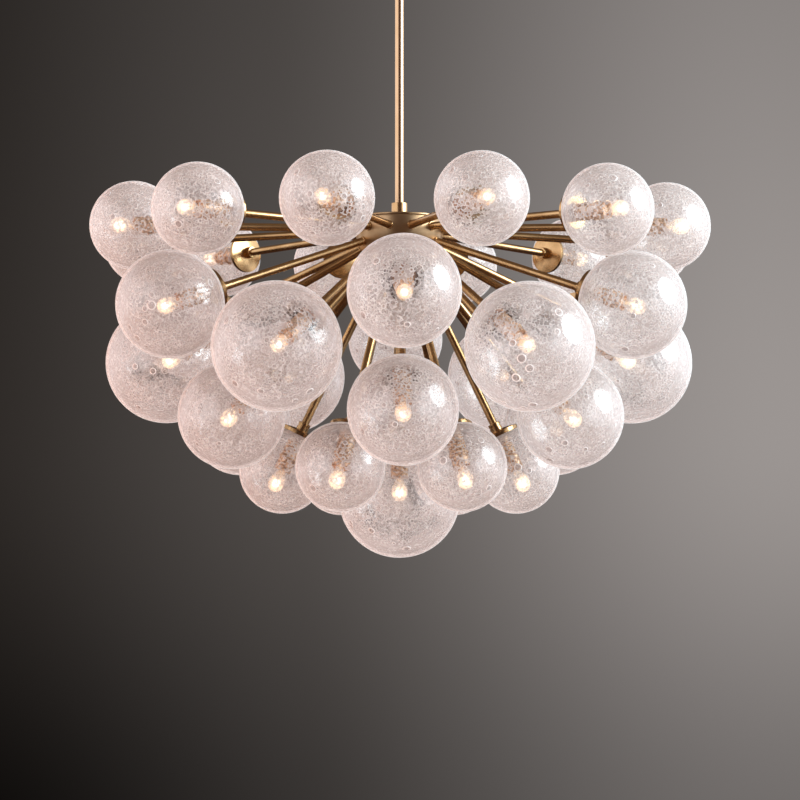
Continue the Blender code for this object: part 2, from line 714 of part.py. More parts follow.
def make_terminal_block(ceiling, plastic):
    """The block under the plate where the house wires meet the lamp wires, with a hole for each way."""
    top = -PLATE_THICKNESS - SEAT_GAP
    outline = rectangle(TERMINAL_LENGTH, TERMINAL_WIDTH)
    block = slab("terminal_block", outline, top - TERMINAL_HEIGHT, top)
    piece = make_piece("terminal_block", block, plastic, ceiling, (0, BETWEEN_BUSH_AND_EDGE, 0))
    bevel = piece.modifiers.new("Bevel", "BEVEL")
    bevel.width = TERMINAL_CHAMFER
    bevel.segments = 1
    pitch = TERMINAL_LENGTH / TERMINAL_WAYS
    low = top - TERMINAL_HEIGHT - OVERRUN
    high = top - TERMINAL_HEIGHT + TERMINAL_HOLE_DEPTH
    way = rod_between("terminal_way", TERMINAL_HOLE_RADIUS, low, high, HOLDER_SIDES)
    for index in range(TERMINAL_WAYS):
        combine(piece, "DIFFERENCE", way, ((index - (TERMINAL_WAYS - 1) / 2) * pitch, 0, 0))


def main():
    """Clear the scene and build the chandelier, from the ceiling down."""
    for item in list(bpy.data.objects):
        bpy.data.objects.remove(item)
    made = {name: make_material(name, finish) for name, finish in FINISHES.items()}
    brass = made["brass"]
    steel = made["steel"]
    ceiling = make_empty("ceiling", None, 0)
    swivel = make_empty("swivel_axis", ceiling, 0)
    tilt = make_empty("tilt_axis", swivel, PIN_HEIGHT)
    hub = make_empty("hub_centre", tilt, HUB_HEIGHT)
    make_plate(ceiling, steel)
    make_bush(ceiling, brass)
    make_canopy(ceiling, brass)
    make_studs(ceiling, brass, steel)
    make_terminal_block(ceiling, made["plastic"])
    make_yoke(swivel, brass, steel)
    make_knuckle(tilt, brass)
    make_rod(hub, brass)
    make_lid(hub, brass)
    make_arm_rings(hub, brass)
    make_centre_arm(hub, brass)
    make_globes(hub, made["glass"])


main()
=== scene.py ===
"""Dresses the bubble chandelier: seeded glass globes on satin brass arms, hung on a rod under a round canopy.

Everything is in metres in the frame's own coordinates, with +Z up and the front towards -Y. A spoke is an arm
with its cap, socket, lamp and globe. It is modelled once for each row, along local +Z from the hub's centre,
and Geometry Nodes fan it out round the hub.
"""

import json
import logging
import math
from abc import ABC, abstractmethod
from collections.abc import Callable, Sequence
from dataclasses import dataclass, field
from enum import Enum
from itertools import combinations

import bmesh
import bpy
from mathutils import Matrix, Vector


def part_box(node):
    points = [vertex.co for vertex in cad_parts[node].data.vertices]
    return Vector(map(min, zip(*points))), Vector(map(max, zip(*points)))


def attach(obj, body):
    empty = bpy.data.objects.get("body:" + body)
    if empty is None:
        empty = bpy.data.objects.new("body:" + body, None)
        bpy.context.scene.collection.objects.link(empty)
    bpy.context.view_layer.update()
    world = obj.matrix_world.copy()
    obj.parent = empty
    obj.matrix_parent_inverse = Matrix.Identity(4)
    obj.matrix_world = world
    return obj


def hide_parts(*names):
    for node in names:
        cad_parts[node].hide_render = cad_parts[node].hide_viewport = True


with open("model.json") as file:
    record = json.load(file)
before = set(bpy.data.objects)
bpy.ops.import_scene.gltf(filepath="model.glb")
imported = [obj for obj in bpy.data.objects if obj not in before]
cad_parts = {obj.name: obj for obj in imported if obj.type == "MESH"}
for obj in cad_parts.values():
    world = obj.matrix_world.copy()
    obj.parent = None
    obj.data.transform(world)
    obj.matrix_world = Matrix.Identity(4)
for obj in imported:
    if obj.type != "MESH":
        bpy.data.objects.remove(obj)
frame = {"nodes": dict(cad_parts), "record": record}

MM = 0.001
INCH = 0.0254
SHARP_ANGLE = math.radians(32)
ON_AXIS = 1e-7
MOST_OF_SIDE = 0.45
GLASS_LAYERS = 48
RIM = "rim"
ALONG = "along"
BLACK = (0.0, 0.0, 0.0)

Color = tuple[float, float, float]
Point = tuple[float, float]
Range = tuple[float, float]
Finishes = dict[str, bpy.types.Material]
log = logging.getLogger("chandelier")


class Body(Enum):
    """The bodies of the frame that pieces ride on."""

    CEILING = "ceiling_part"
    DROP = "drop"


class Slot(Enum):
    """The material slots of the record."""

    BRASS = "brass"
    GLASS = "glass"
    STEEL = "steel"
    PLASTIC = "plastic"


def arithmetic(operation: str, reflected: bool = False) -> Callable[["Output", "Output | float"], "Output"]:
    """Make an operator of Output.

    Args:
        operation: What its Math node does.
        reflected: Whether the other number stands on the left.

    Returns:
        The operator's method.
    """

    def method(self: "Output", other: "Output | float") -> "Output":
        """Add the Math node."""
        numbers = (other, self) if reflected else (self, other)
        return self.graph.math(operation, *numbers)

    return method


class Output:
    """What a node gives out; arithmetic on it adds Math nodes."""

    def __init__(self, graph: "Graph", socket: bpy.types.NodeSocket) -> None:
        """Wrap a socket of a graph."""
        self.graph = graph
        self.socket = socket

    __add__ = arithmetic("ADD")
    __radd__ = arithmetic("ADD", reflected=True)
    __sub__ = arithmetic("SUBTRACT")
    __rsub__ = arithmetic("SUBTRACT", reflected=True)
    __mul__ = arithmetic("MULTIPLY")
    __rmul__ = arithmetic("MULTIPLY", reflected=True)
    __truediv__ = arithmetic("DIVIDE")
    __rtruediv__ = arithmetic("DIVIDE", reflected=True)
    __pow__ = arithmetic("POWER")


class Graph:
    """Adds nodes to a shader tree or a geometry tree."""

    def __init__(self, tree: bpy.types.NodeTree) -> None:
        """Work on a tree."""
        self.tree = tree

    def node(self, kind: str, settings: dict | None = None, inputs: dict | None = None) -> bpy.types.Node:
        """Add a node.

        Args:
            kind: The node's type.
            settings: Its own settings, which are set before its sockets are read.
            inputs: Values or outputs for its sockets, by name or by place.

        Returns:
            The new node.
        """
        node = self.tree.nodes.new(kind)
        for name, value in (settings or {}).items():
            setattr(node, name, value)
        for key, value in (inputs or {}).items():
            if isinstance(value, Output):
                self.tree.links.new(value.socket, node.inputs[key])
            else:
                node.inputs[key].default_value = value
        return node

    def outputs(self, node: bpy.types.Node, *keys: str) -> list[Output]:
        """Some of a node's outputs, by name."""
        return [Output(self, node.outputs[key]) for key in keys]

    def output(
        self, kind: str, settings: dict | None = None, inputs: dict | None = None, key: str | int = 0
    ) -> Output:
        """Add a node and return its output of a name or place; the rest is as in node."""
        return Output(self, self.node(kind, settings, inputs).outputs[key])

    def shader(self, kind: str, inputs: dict | None = None) -> Output:
        """Add a shader of a kind, such as Principled."""
        return self.output(f"ShaderNodeBsdf{kind}", inputs=inputs)

    def math(self, operation: str, *numbers: Output | float) -> Output:
        """Add a Math node on one to three numbers."""
        return self.output("ShaderNodeMath", {"operation": operation}, dict(enumerate(numbers)))

    def smooth(self, value: Output, low: float, high: float, start: float = 0.0, end: float = 1.0) -> Output:
        """Ease a number from one range into another, and hold it at both ends.

        Args:
            value: The number.
            low: Where the rise starts.
            high: Where the rise ends.
            start: Result at low and below.
            end: Result at high and above.

        Returns:
            The eased number.
        """
        inputs = {"Value": value, "From Min": low, "From Max": high, "To Min": start, "To Max": end}
        return self.output("ShaderNodeMapRange", {"interpolation_type": "SMOOTHSTEP"}, inputs)

    def fade(self, value: Output, low: float, high: float) -> Output:
        """1 up to a low limit, eased down to 0 at a high one."""
        return self.smooth(value, low, high, 1.0, 0.0)

    def band(self, value: Output, low: float, high: float, ease: float) -> Output:
        """1 between two limits, eased outside them over a width."""
        return self.smooth(value, low - ease, low) * self.fade(value, high, high + ease)

    def between(self, share: Output, low: Output | float, high: Output | float) -> Output:
        """The number at a share of the way from low to high."""
        return low + (high - low) * share

    def blend(self, share: Output | float, first: Output | Color, second: Output | Color) -> Output:
        """Mix two colours; a share of 0 gives the first."""
        sides = [side if isinstance(side, Output) else (*side, 1.0) for side in (first, second)]
        return self.output("ShaderNodeMix", {"data_type": "RGBA"}, {0: share, 6: sides[0], 7: sides[1]}, 2)

    def mixed(self, share: Output | float, first: Output, second: Output) -> Output:
        """Mix two shaders; a share of 0 gives the first."""
        return self.output("ShaderNodeMixShader", inputs={0: share, 1: first, 2: second})

    def place(self, stretch: Sequence[float] = (1, 1, 1)) -> Output:
        """Object coordinates, stretched by a factor on each axis."""
        place = self.output("ShaderNodeTexCoord", key="Object")
        return self.output("ShaderNodeMapping", inputs={"Vector": place, "Scale": tuple(stretch)})

    def noise(self, place: Output, size: float, detail: float = 2.0) -> Output:
        """Noise whose blotches are about a size across."""
        inputs = {"Vector": place, "Scale": 1 / size, "Detail": detail}
        return self.output("ShaderNodeTexNoise", inputs=inputs)

    def cells(self, place: Output, size: float) -> Output:
        """Distance from the nearest of scattered points about a size apart, as a share of that size."""
        inputs = {"Vector": place, "Scale": 1 / size}
        return self.output("ShaderNodeTexVoronoi", inputs=inputs, key="Distance")

    def bump(self, height: Output, depth: float) -> Output:
        """A normal bent by a height of up to a depth in metres."""
        return self.output("ShaderNodeBump", inputs={"Height": height, "Distance": depth})

    def facing(self) -> Output:
        """0 where a surface is seen straight on, 1 where it is seen along."""
        return self.output("ShaderNodeLayerWeight", inputs={"Blend": 0.5}, key="Facing")

    def as_glass(self, shader: Output, clearness: float) -> Output:
        """Let light through as plain shadow, and leave the shader out of reflections.

        Args:
            shader: What is seen.
            clearness: Share of the light that shadow rays keep.

        Returns:
            The shader for all rays.
        """
        clear = self.shader("Transparent", {"Color": (clearness, clearness, clearness, 1.0)})
        shadow, glossy = self.outputs(self.node("ShaderNodeLightPath"), "Is Shadow Ray", "Is Glossy Ray")
        return self.mixed(shadow + glossy, shader, clear)


class Finish(ABC):
    """How a surface looks."""

    @abstractmethod
    def surface(self, graph: Graph) -> Output:
        """Build the finish's shader in a material's graph."""

    def material(self, name: str) -> bpy.types.Material:
        """Make a material of the finish.

        Args:
            name: The material's name.

        Returns:
            The material.
        """
        material = bpy.data.materials.new(name)
        material.use_nodes = True
        material.node_tree.nodes.clear()
        graph = Graph(material.node_tree)
        graph.node("ShaderNodeOutputMaterial", inputs={"Surface": self.surface(graph)})
        return material


@dataclass(frozen=True)
class Brass(Finish):
    """Satin brass with slow changes of tone and a fine grain, which is felt where it has a depth."""

    bright: Color = (0.71, 0.45, 0.22)
    dull: Color = (0.54, 0.325, 0.148)
    smoothest: float = 0.18
    roughest: float = 0.24
    metallic: float = 1.0
    tone_size: float = 35 * MM
    tone_detail: float = 4.0
    tone_range: Range = (0.35, 0.7)
    grain_size: float = 0.7 * MM
    grain_stretch: tuple[float, float, float] = (1.0, 1.0, 1.0)
    grain_depth: float = 0.0

    def surface(self, graph: Graph) -> Output:
        """Build the shader."""
        tone = graph.smooth(graph.noise(graph.place(), self.tone_size, self.tone_detail), *self.tone_range)
        grain = graph.noise(graph.place(self.grain_stretch), self.grain_size)
        inputs = {
            "Base Color": graph.blend(tone, self.bright, self.dull),
            "Metallic": self.metallic,
            "Roughness": graph.between(tone * 0.5 + grain * 0.5, self.smoothest, self.roughest),
            "Normal": graph.bump(grain, self.grain_depth),
        }
        return graph.shader("Principled", inputs)


@dataclass(frozen=True)
class Seeds:
    """The pattern of thousands of tiny bubbles in the glass: a pale lace of rings round clear holes, with
    small white spots of painted glints in the colour.
    """

    # Colour of the pale lace and of the painted glints in it.
    lace_and_glints: Color = (1.0, 0.98, 0.97)
    haze: Color = (0.66, 0.597, 0.58)
    depth: float = 1.0 * MM
    net_height: float = 0.5
    cloud_size: float = 42 * MM
    cloud_detail: float = 3.0
    cloud_range: Range = (0.36, 0.62)
    cloud_middle: float = 0.6
    cloud_push: float = 0.22
    seed_size: float = 4.3 * MM
    seed_hole: Range = (0.43, 0.52)
    seed_ring: Range = (0.52, 0.60)
    seed_ease: float = 0.07
    pearl_size: float = 10 * MM
    pearl_hole: Range = (0.22, 0.30)
    pearl_ring: Range = (0.30, 0.37)
    pearl_ease: float = 0.05
    # Size and range of the painted glints: white spots that stand for sparkles of light off the seeds.
    painted_glint_size: float = 3.9 * MM
    painted_glint_range: Range = (0.20, 0.33)

    def add_to(self, graph: Graph) -> tuple[Output, Output, Output, Output]:
        """Add the pattern to a graph.

        Args:
            graph: The graph of a material.

        Returns:
            Masks of what is milky and of large soft clouds, then the colour and the bent normal.
        """
        place = graph.place()
        clouds = graph.smooth(graph.noise(place, self.cloud_size, self.cloud_detail), *self.cloud_range)
        seeds = graph.cells(place, self.seed_size) + (clouds - self.cloud_middle) * self.cloud_push
        pearls = graph.cells(place, self.pearl_size)
        # White spots painted into the colour as glints of light off the seeds.
        painted_glints = graph.fade(graph.cells(place, self.painted_glint_size), *self.painted_glint_range)
        milky = graph.smooth(seeds, *self.seed_hole) * graph.smooth(pearls, *self.pearl_hole)
        seed_rings = graph.band(seeds, *self.seed_ring, self.seed_ease)
        pearl_rings = graph.band(pearls, *self.pearl_ring, self.pearl_ease)
        # The lace's pale colour, with the painted glints in it.
        lace_and_glints = graph.math("MINIMUM", milky * (seed_rings + pearl_rings + painted_glints), 1.0)
        color = graph.blend(lace_and_glints, self.haze, self.lace_and_glints)
        return milky, clouds, color, graph.bump(milky + lace_and_glints * self.net_height, self.depth)


@dataclass(frozen=True)
class ClearSkin(Finish):
    """The globe's polished outer face: clear, with soft reflections and a thin white line of painted
    highlight round its edge.
    """

    seeds: Seeds = Seeds()
    # Colour of the painted highlight along the globe's edge.
    edge: Color = (0.94, 0.985, 1.0)
    gloss: float = 0.052
    edge_gloss: float = 0.13
    gloss_roughness: float = 0.15
    milk_roughness: float = 0.5
    haze_range: Range = (0.62, 0.76)
    edge_range: Range = (0.83, 0.92)
    haze_share: float = 0.82
    far_share: float = 0.94
    far_clearest: float = 0.62
    through: float = 0.5
    wave_size: float = 16 * MM
    wave_depth: float = 0.1 * MM

    def surface(self, graph: Graph) -> Output:
        """Build the shader."""
        facing = graph.facing()
        waves = graph.bump(graph.noise(graph.place(), self.wave_size), self.wave_depth)
        _, clouds, color, _ = self.seeds.add_to(graph)
        # The base colour turns to the edge colour at grazing angles: a painted highlight round the globe's
        # rim.
        tone = graph.blend(graph.smooth(facing, *self.edge_range), color, self.edge)
        front = graph.shader("Principled", {"Base Color": tone, "Roughness": self.milk_roughness})
        milk = graph.mixed(self.through, front, graph.shader("Translucent", {"Color": tone}))
        far = graph.between(clouds, self.far_clearest, self.far_share)
        from_inside = graph.output("ShaderNodeNewGeometry", key="Backfacing") * far
        share = graph.smooth(facing, *self.haze_range, 0.0, self.haze_share)
        body = graph.mixed(graph.math("MAXIMUM", share, from_inside), graph.shader("Transparent"), milk)
        polish = graph.shader("Anisotropic", {"Roughness": self.gloss_roughness, "Normal": waves})
        lit = graph.mixed(graph.smooth(facing, 0.0, 1.0, self.gloss, self.edge_gloss), body, polish)
        return graph.as_glass(lit, 1.0)


@dataclass(frozen=True)
class SeededVeil(Finish):
    """The globe's inner face, which carries most of the milky seeds."""

    seeds: Seeds = Seeds()
    thin: float = 0.05
    thick: float = 0.82
    clearest: float = 0.6
    fill: float = 0.2
    edge_cover: float = 0.8
    edge_range: Range = (0.08, 0.66)
    rim_range: Range = (0.76, 0.96)
    milk_roughness: float = 0.42
    gloss: float = 0.08
    gloss_roughness: float = 0.1
    through: float = 0.42
    shadow: float = 0.75

    def surface(self, graph: Graph) -> Output:
        """Build the shader."""
        milky, clouds, color, normal = self.seeds.add_to(graph)
        milk = graph.between(clouds, self.clearest, 1)
        filled = graph.math("MAXIMUM", milky, clouds * self.fill)
        cover = self.thin + (self.thick - self.thin) * filled * milk
        facing = graph.facing()
        cover = graph.math("MAXIMUM", cover, graph.smooth(facing, *self.edge_range, 0.0, self.edge_cover))
        cover = cover * graph.fade(facing, *self.rim_range)
        front = {"Base Color": color, "Roughness": self.milk_roughness, "Normal": normal}
        glow = graph.shader("Translucent", {"Color": color, "Normal": normal})
        body = graph.mixed(self.through, graph.shader("Principled", front), glow)
        polish = graph.shader("Anisotropic", {"Roughness": self.gloss_roughness})
        veil = graph.mixed(cover, graph.shader("Transparent"), body)
        return graph.as_glass(graph.mixed(self.gloss, veil, polish), self.shadow)


@dataclass(frozen=True)
class BubbleSkin(Finish):
    """A large bubble in the wall: mostly clear in the middle, where a dark tint is painted shade, with a thin
    pale ring of painted highlight at its rim.
    """

    # The pale ring is a painted highlight and the dark middle is painted shade.
    ring: Color = (1.0, 0.98, 0.97)
    middle: Color = (0.34, 0.29, 0.27)
    ring_range: Range = (0.6, 0.85)
    middle_share: float = 0.34
    ring_share: float = 0.85
    roughness: float = 0.2

    def surface(self, graph: Graph) -> Output:
        """Build the shader."""
        rim = graph.output("ShaderNodeAttribute", {"attribute_name": RIM}, key="Fac")
        # Painted highlight towards the rim, painted shade in the middle.
        edge = graph.smooth(rim, *self.ring_range)
        pale = {"Base Color": graph.blend(edge, self.middle, self.ring), "Roughness": self.roughness}
        share = graph.between(edge, self.middle_share, self.ring_share)
        skin = graph.mixed(share, graph.shader("Transparent"), graph.shader("Principled", pale))
        return graph.as_glass(skin, 1.0)


@dataclass(frozen=True)
class LampGlow(Finish):
    """The lit lamp: a white-hot middle that turns amber at its edge."""

    core: Color = (1.0, 0.92, 0.76)
    edge: Color = (1.0, 0.60, 0.34)
    base_strength: float = 0.12
    tip_strength: float = 2.0
    lit_range: Range = (0.35, 0.7)
    hot_range: Range = (0.0, 0.22)
    halo: float = 0.3
    halo_range: Range = (0.15, 0.95)
    roughness: float = 0.3

    def surface(self, graph: Graph) -> Output:
        """Build the shader."""
        along = graph.output("ShaderNodeAttribute", {"attribute_name": ALONG}, key="Fac")
        lit = graph.smooth(along, *self.lit_range, self.base_strength / self.tip_strength, 1.0)
        hot = graph.fade(graph.facing(), *self.hot_range)
        inputs = {
            "Base Color": (*self.core, 1.0),
            "Roughness": self.roughness,
            "Emission Color": graph.blend(lit, BLACK, graph.blend(hot * lit, self.edge, self.core)),
            "Emission Strength": self.tip_strength,
        }
        halo = graph.smooth(graph.facing(), *self.halo_range, self.halo, 0.0)
        share = graph.math("MAXIMUM", hot, halo)
        return graph.mixed(share, graph.shader("Transparent"), graph.shader("Principled", inputs))


@dataclass(frozen=True)
class Zinc(Finish):
    """Zinc plated steel with faint spangles."""

    pale: Color = (0.62, 0.62, 0.63)
    dark: Color = (0.42, 0.42, 0.44)
    spangle_size: float = 6 * MM
    spangle_range: Range = (0.1, 0.7)
    grain_size: float = 0.5 * MM
    grain_depth: float = 0.02 * MM
    smoothest: float = 0.3
    roughening: float = 0.15

    def surface(self, graph: Graph) -> Output:
        """Build the shader."""
        spangles = graph.smooth(graph.cells(graph.place(), self.spangle_size), *self.spangle_range)
        inputs = {
            "Base Color": graph.blend(spangles, self.pale, self.dark),
            "Metallic": 1.0,
            "Roughness": self.smoothest + spangles * self.roughening,
            "Normal": graph.bump(graph.noise(graph.place(), self.grain_size), self.grain_depth),
        }
        return graph.shader("Principled", inputs)


@dataclass(frozen=True)
class MouldedPlastic(Finish):
    """Moulded plastic with a fine satin texture."""

    pale: Color = (0.80, 0.78, 0.72)
    dark: Color = (0.72, 0.69, 0.62)
    tone_size: float = 9 * MM
    tone_detail: float = 3.0
    grain_size: float = 0.4 * MM
    grain_depth: float = 0.03 * MM
    smoothest: float = 0.45
    roughening: float = 0.15

    def surface(self, graph: Graph) -> Output:
        """Build the shader."""
        tone = graph.noise(graph.place(), self.tone_size, self.tone_detail)
        grain = graph.noise(graph.place(), self.grain_size)
        inputs = {
            "Base Color": graph.blend(tone, self.pale, self.dark),
            "Roughness": self.smoothest + grain * self.roughening,
            "Normal": graph.bump(grain, self.grain_depth),
        }
        return graph.shader("Principled", inputs)


@dataclass(frozen=True)
class FloorPaint(Finish):
    """Pale matt floor paint, which the camera sees without glare and reflections leave out."""

    pale: Color = (0.80, 0.73, 0.69)
    dark: Color = (0.76, 0.69, 0.65)
    seen_pale: Color = (0.47, 0.42, 0.395)
    seen_dark: Color = (0.44, 0.395, 0.37)
    tone_size: float = 0.6
    tone_detail: float = 3.0
    roughness: float = 0.9

    def surface(self, graph: Graph) -> Output:
        """Build the shader."""
        tone = graph.noise(graph.place(), self.tone_size, self.tone_detail)
        seen, glossy = graph.outputs(graph.node("ShaderNodeLightPath"), "Is Camera Ray", "Is Glossy Ray")
        given = graph.blend(tone, self.pale, self.dark)
        color = graph.blend(seen, given, graph.blend(tone, self.seen_pale, self.seen_dark))
        paint = graph.shader("Principled", {"Base Color": color, "Roughness": self.roughness})
        return graph.mixed(glossy, paint, graph.shader("Transparent"))


def direction(azimuth: float, elevation: float) -> Vector:
    """Unit vector in a direction.

    Args:
        azimuth: Degrees from the front, counted towards the right.
        elevation: Height angle in degrees.

    Returns:
        The vector.
    """
    turn = math.radians(azimuth)
    rise = math.radians(elevation)
    level = math.cos(rise)
    return Vector((level * math.sin(turn), -level * math.cos(turn), math.sin(rise)))


def other_side(hypotenuse: float, side: float) -> float:
    """The other short side of a right-angled triangle."""
    return math.sqrt(hypotenuse**2 - side**2)


def arc(radius: float, start: float, end: float, steps: int, height: float = 0.0) -> list[Point]:
    """Points of a profile along a round.

    Args:
        radius: Radius of the round, whose middle is on the axis.
        start: First angle from the axis's upper end, in radians.
        end: Last angle.
        steps: Count of stretches.
        height: Height of the round's middle.

    Returns:
        Points of distance from the axis and height.
    """
    turns = [start + (end - start) * index / steps for index in range(steps + 1)]
    return [(max(radius * math.sin(turn), 0.0), height + radius * math.cos(turn)) for turn in turns]


def softened(points: Sequence[Point], radius: float, steps: int = 3, closed: bool = False) -> list[Point]:
    """Round off the corners of a profile.

    Args:
        points: The profile's corners.
        radius: How far from a corner its round starts, at most.
        steps: Count of stretches in a round.
        closed: Whether the profile's last corner joins its first.

    Returns:
        The profile with rounds in place of its corners.
    """
    result: list[Point] = []
    for index, corner in enumerate(points):
        if not closed and index in (0, len(points) - 1):
            result.append(corner)
            continue
        here = Vector(corner)
        before = Vector(points[index - 1]) - here
        after = Vector(points[(index + 1) % len(points)]) - here
        reach = min(radius, MOST_OF_SIDE * before.length, MOST_OF_SIDE * after.length)
        first = here + before.normalized() * reach
        last = here + after.normalized() * reach
        for step in range(steps + 1):
            share = step / steps
            spot = first * (1 - share) ** 2 + here * (2 * share * (1 - share)) + last * share**2
            result.append((max(spot.x, 0.0), spot.y))
    return result


def turned(
    name: str, points: Sequence[Point], sides: int, closed: bool = False, sheet: bool = False
) -> bpy.types.Mesh:
    """Turn a profile about the local Z axis.

    Args:
        name: The mesh's name.
        points: Distance from the axis and height of each point. A profile that isn't closed starts on the
            axis, and also ends there unless it makes a sheet.
        sides: Count of sides.
        closed: Whether the last point joins the first.
        sheet: Whether it makes an open sheet, whose faces point away from the axis's middle.

    Returns:
        The sheet, or a closed mesh with its faces outwards, smooth but for its sharp edges.
    """
    bm = bmesh.new()
    turns = [math.tau * index / sides for index in range(sides)]
    rings = []
    for radius, height in points:
        spots = [(radius * math.cos(t), radius * math.sin(t), height) for t in turns]
        if radius < ON_AXIS:
            spots = [(0.0, 0.0, height)]
        rings.append([bm.verts.new(spot) for spot in spots])
    if closed:
        rings.append(rings[0])
    for pair in zip(rings, rings[1:]):
        low, high = reversed(pair) if sheet else pair
        for side in range(sides):
            after = (side + 1) % sides
            lower = [low[side % len(low)], low[after % len(low)]]
            upper = [high[after % len(high)], high[side % len(high)]]
            corners = list(dict.fromkeys(lower + upper))
            if len(corners) > 2:
                bm.faces.new(corners)
    if not sheet:
        bmesh.ops.recalc_face_normals(bm, faces=bm.faces)
    mesh = bpy.data.meshes.new(name)
    bm.to_mesh(mesh)
    bm.free()
    if not sheet:
        mesh.shade_smooth()
        mesh.set_sharp_from_angle(angle=SHARP_ANGLE)
    return mesh


def moved(mesh: bpy.types.Mesh, x: float = 0.0, z: float = 0.0) -> bpy.types.Mesh:
    """Move a mesh's vertices and return the mesh."""
    for vertex in mesh.vertices:
        vertex.co += Vector((x, 0.0, z))
    return mesh


def mark_along(mesh: bpy.types.Mesh) -> None:
    """Give a turned mesh an attribute that runs from 0 at its lowest vertex to 1 at its highest."""
    heights = [vertex.co.z for vertex in mesh.vertices]
    low, high = min(heights), max(heights)
    attribute = mesh.attributes.new(ALONG, "FLOAT", "POINT")
    attribute.data.foreach_set("value", [(height - low) / (high - low) for height in heights])


def placed(name: str, data: bpy.types.ID) -> bpy.types.Object:
    """Add an object of a name to the scene, with its data."""
    thing = bpy.data.objects.new(name, data)
    bpy.context.scene.collection.objects.link(thing)
    return thing


def add_piece(
    name: str, mesh: bpy.types.Mesh, material: bpy.types.Material, body: Body, nodes: Sequence[str] = ()
) -> None:
    """Add a finished brass piece to the scene, on its body.

    Args:
        name: The piece's name.
        mesh: Its mesh, already in place.
        material: Its finish.
        body: The body that it rides on.
        nodes: CAD nodes that it stands for.
    """
    mesh.materials.append(material)
    finish_piece(placed(name, mesh), body, nodes)


def finish_piece(piece: bpy.types.Object, body: Body, nodes: Sequence[str] = ()) -> None:
    """Put a piece on its body and the CAD nodes that it stands for, and report it."""
    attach(piece, body.value)
    if nodes:
        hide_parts(*nodes)
    log.info("%s: %d faces on %s", piece.name, len(piece.data.polygons), body.value)


class Tree:
    """A Geometry Nodes tree with named inputs, used as a modifier."""

    def __init__(self, name: str, sockets: dict[str, str]) -> None:
        """Start a tree.

        Args:
            name: The tree's name.
            sockets: Type of each input after the geometry, such as Float, by name; a Material input is added.
        """
        self.tree = bpy.data.node_groups.new(name, "GeometryNodeTree")
        self.tree.is_modifier = True
        face = self.tree.interface
        face.new_socket("Geometry", in_out="INPUT", socket_type="NodeSocketGeometry")
        face.new_socket("Geometry", in_out="OUTPUT", socket_type="NodeSocketGeometry")
        self.identifiers = {}
        for key, kind in (sockets | {"Material": "Material"}).items():
            socket = face.new_socket(key, in_out="INPUT", socket_type=f"NodeSocket{kind}")
            self.identifiers[key] = socket.identifier
        self.graph = Graph(self.tree)
        self.start = self.graph.node("NodeGroupInput")

    def input(self, name: str) -> Output:
        """One of the tree's inputs."""
        return Output(self.graph, self.start.outputs[name])

    def end_with(self, geometry: Output) -> None:
        """Realize the geometry, give it the Material input and make it the tree's result."""
        real = self.graph.output("GeometryNodeRealizeInstances", inputs={"Geometry": geometry})
        dressed = {"Geometry": real, "Material": self.input("Material")}
        result = self.graph.output("GeometryNodeSetMaterial", inputs=dressed)
        self.graph.node("NodeGroupOutput", inputs={"Geometry": result})

    def use_on(self, piece: bpy.types.Object, values: dict) -> None:
        """Add the tree to an object as a modifier with values for its inputs."""
        modifier = piece.modifiers.new(self.tree.name, "NODES")
        modifier.node_group = self.tree
        for name, value in values.items():
            modifier[self.identifiers[name]] = value


def fan_tree() -> Tree:
    """Build the tree that copies a spoke's piece round the hub.

    Returns:
        A tree whose copies start at First Azimuth and lie at one Elevation, in radians, round Hub Height.
    """
    sockets = {"Count": "Int", "First Azimuth": "Float", "Elevation": "Float", "Hub Height": "Float"}
    tree = Tree("fan_out", sockets)
    graph = tree.graph
    count = tree.input("Count")
    index = graph.output("GeometryNodeInputIndex")
    hub = graph.output("ShaderNodeCombineXYZ", inputs={"Z": tree.input("Hub Height")})
    points = {"Count": count, "Start Location": hub, "Offset": (0.0, 0.0, 0.0)}
    line = graph.output("GeometryNodeMeshLine", inputs=points)
    azimuth = tree.input("First Azimuth") + index * (math.tau / count)
    turn = {"X": math.pi / 2 - tree.input("Elevation"), "Z": azimuth}
    aim = graph.output("ShaderNodeCombineXYZ", inputs=turn)
    spokes = {"Points": line, "Instance": tree.input("Geometry"), "Rotation": aim}
    tree.end_with(graph.output("GeometryNodeInstanceOnPoints", inputs=spokes))
    return tree


def bubble_tree() -> Tree:
    """Build the tree that scatters flat bubbles over a surface.

    Returns:
        A tree whose bubbles are Least to Most in radius, few of them large, and Thickness thick. Each carries
        an attribute that is 0 in its middle and 1 at its rim.
    """
    sockets = {"Density": "Float", "Seed": "Int", "Least": "Float", "Most": "Float", "Thickness": "Float"}
    tree = Tree("bubbles", sockets)
    graph = tree.graph
    spread = {"Mesh": tree.input("Geometry"), "Density": tree.input("Density"), "Seed": tree.input("Seed")}
    scatter = graph.node("GeometryNodeDistributePointsOnFaces", inputs=spread)
    points, rotation = graph.outputs(scatter, "Points", "Rotation")
    ball = graph.output("GeometryNodeMeshUVSphere", inputs={"Segments": 10, "Rings": 5, "Radius": 1.0})
    smooth = graph.output("GeometryNodeSetShadeSmooth", inputs={"Geometry": ball})
    spot = graph.node("ShaderNodeSeparateXYZ", inputs={"Vector": graph.output("GeometryNodeInputPosition")})
    x, y = graph.outputs(spot, "X", "Y")
    marks = {"Geometry": smooth, "Name": RIM, "Value": (x * x + y * y) ** 0.5}
    marked = graph.output("GeometryNodeStoreNamedAttribute", {"data_type": "FLOAT", "domain": "POINT"}, marks)
    chance = graph.output("FunctionNodeRandomValue", {"data_type": "FLOAT"}, {"Seed": tree.input("Seed")}, 1)
    radius = graph.between(chance**4, tree.input("Least"), tree.input("Most"))
    size = {"X": radius, "Y": radius, "Z": tree.input("Thickness") / 2}
    scale = graph.output("ShaderNodeCombineXYZ", inputs=size)
    copies = {"Points": points, "Instance": marked, "Rotation": rotation, "Scale": scale}
    tree.end_with(graph.output("GeometryNodeInstanceOnPoints", inputs=copies))
    return tree


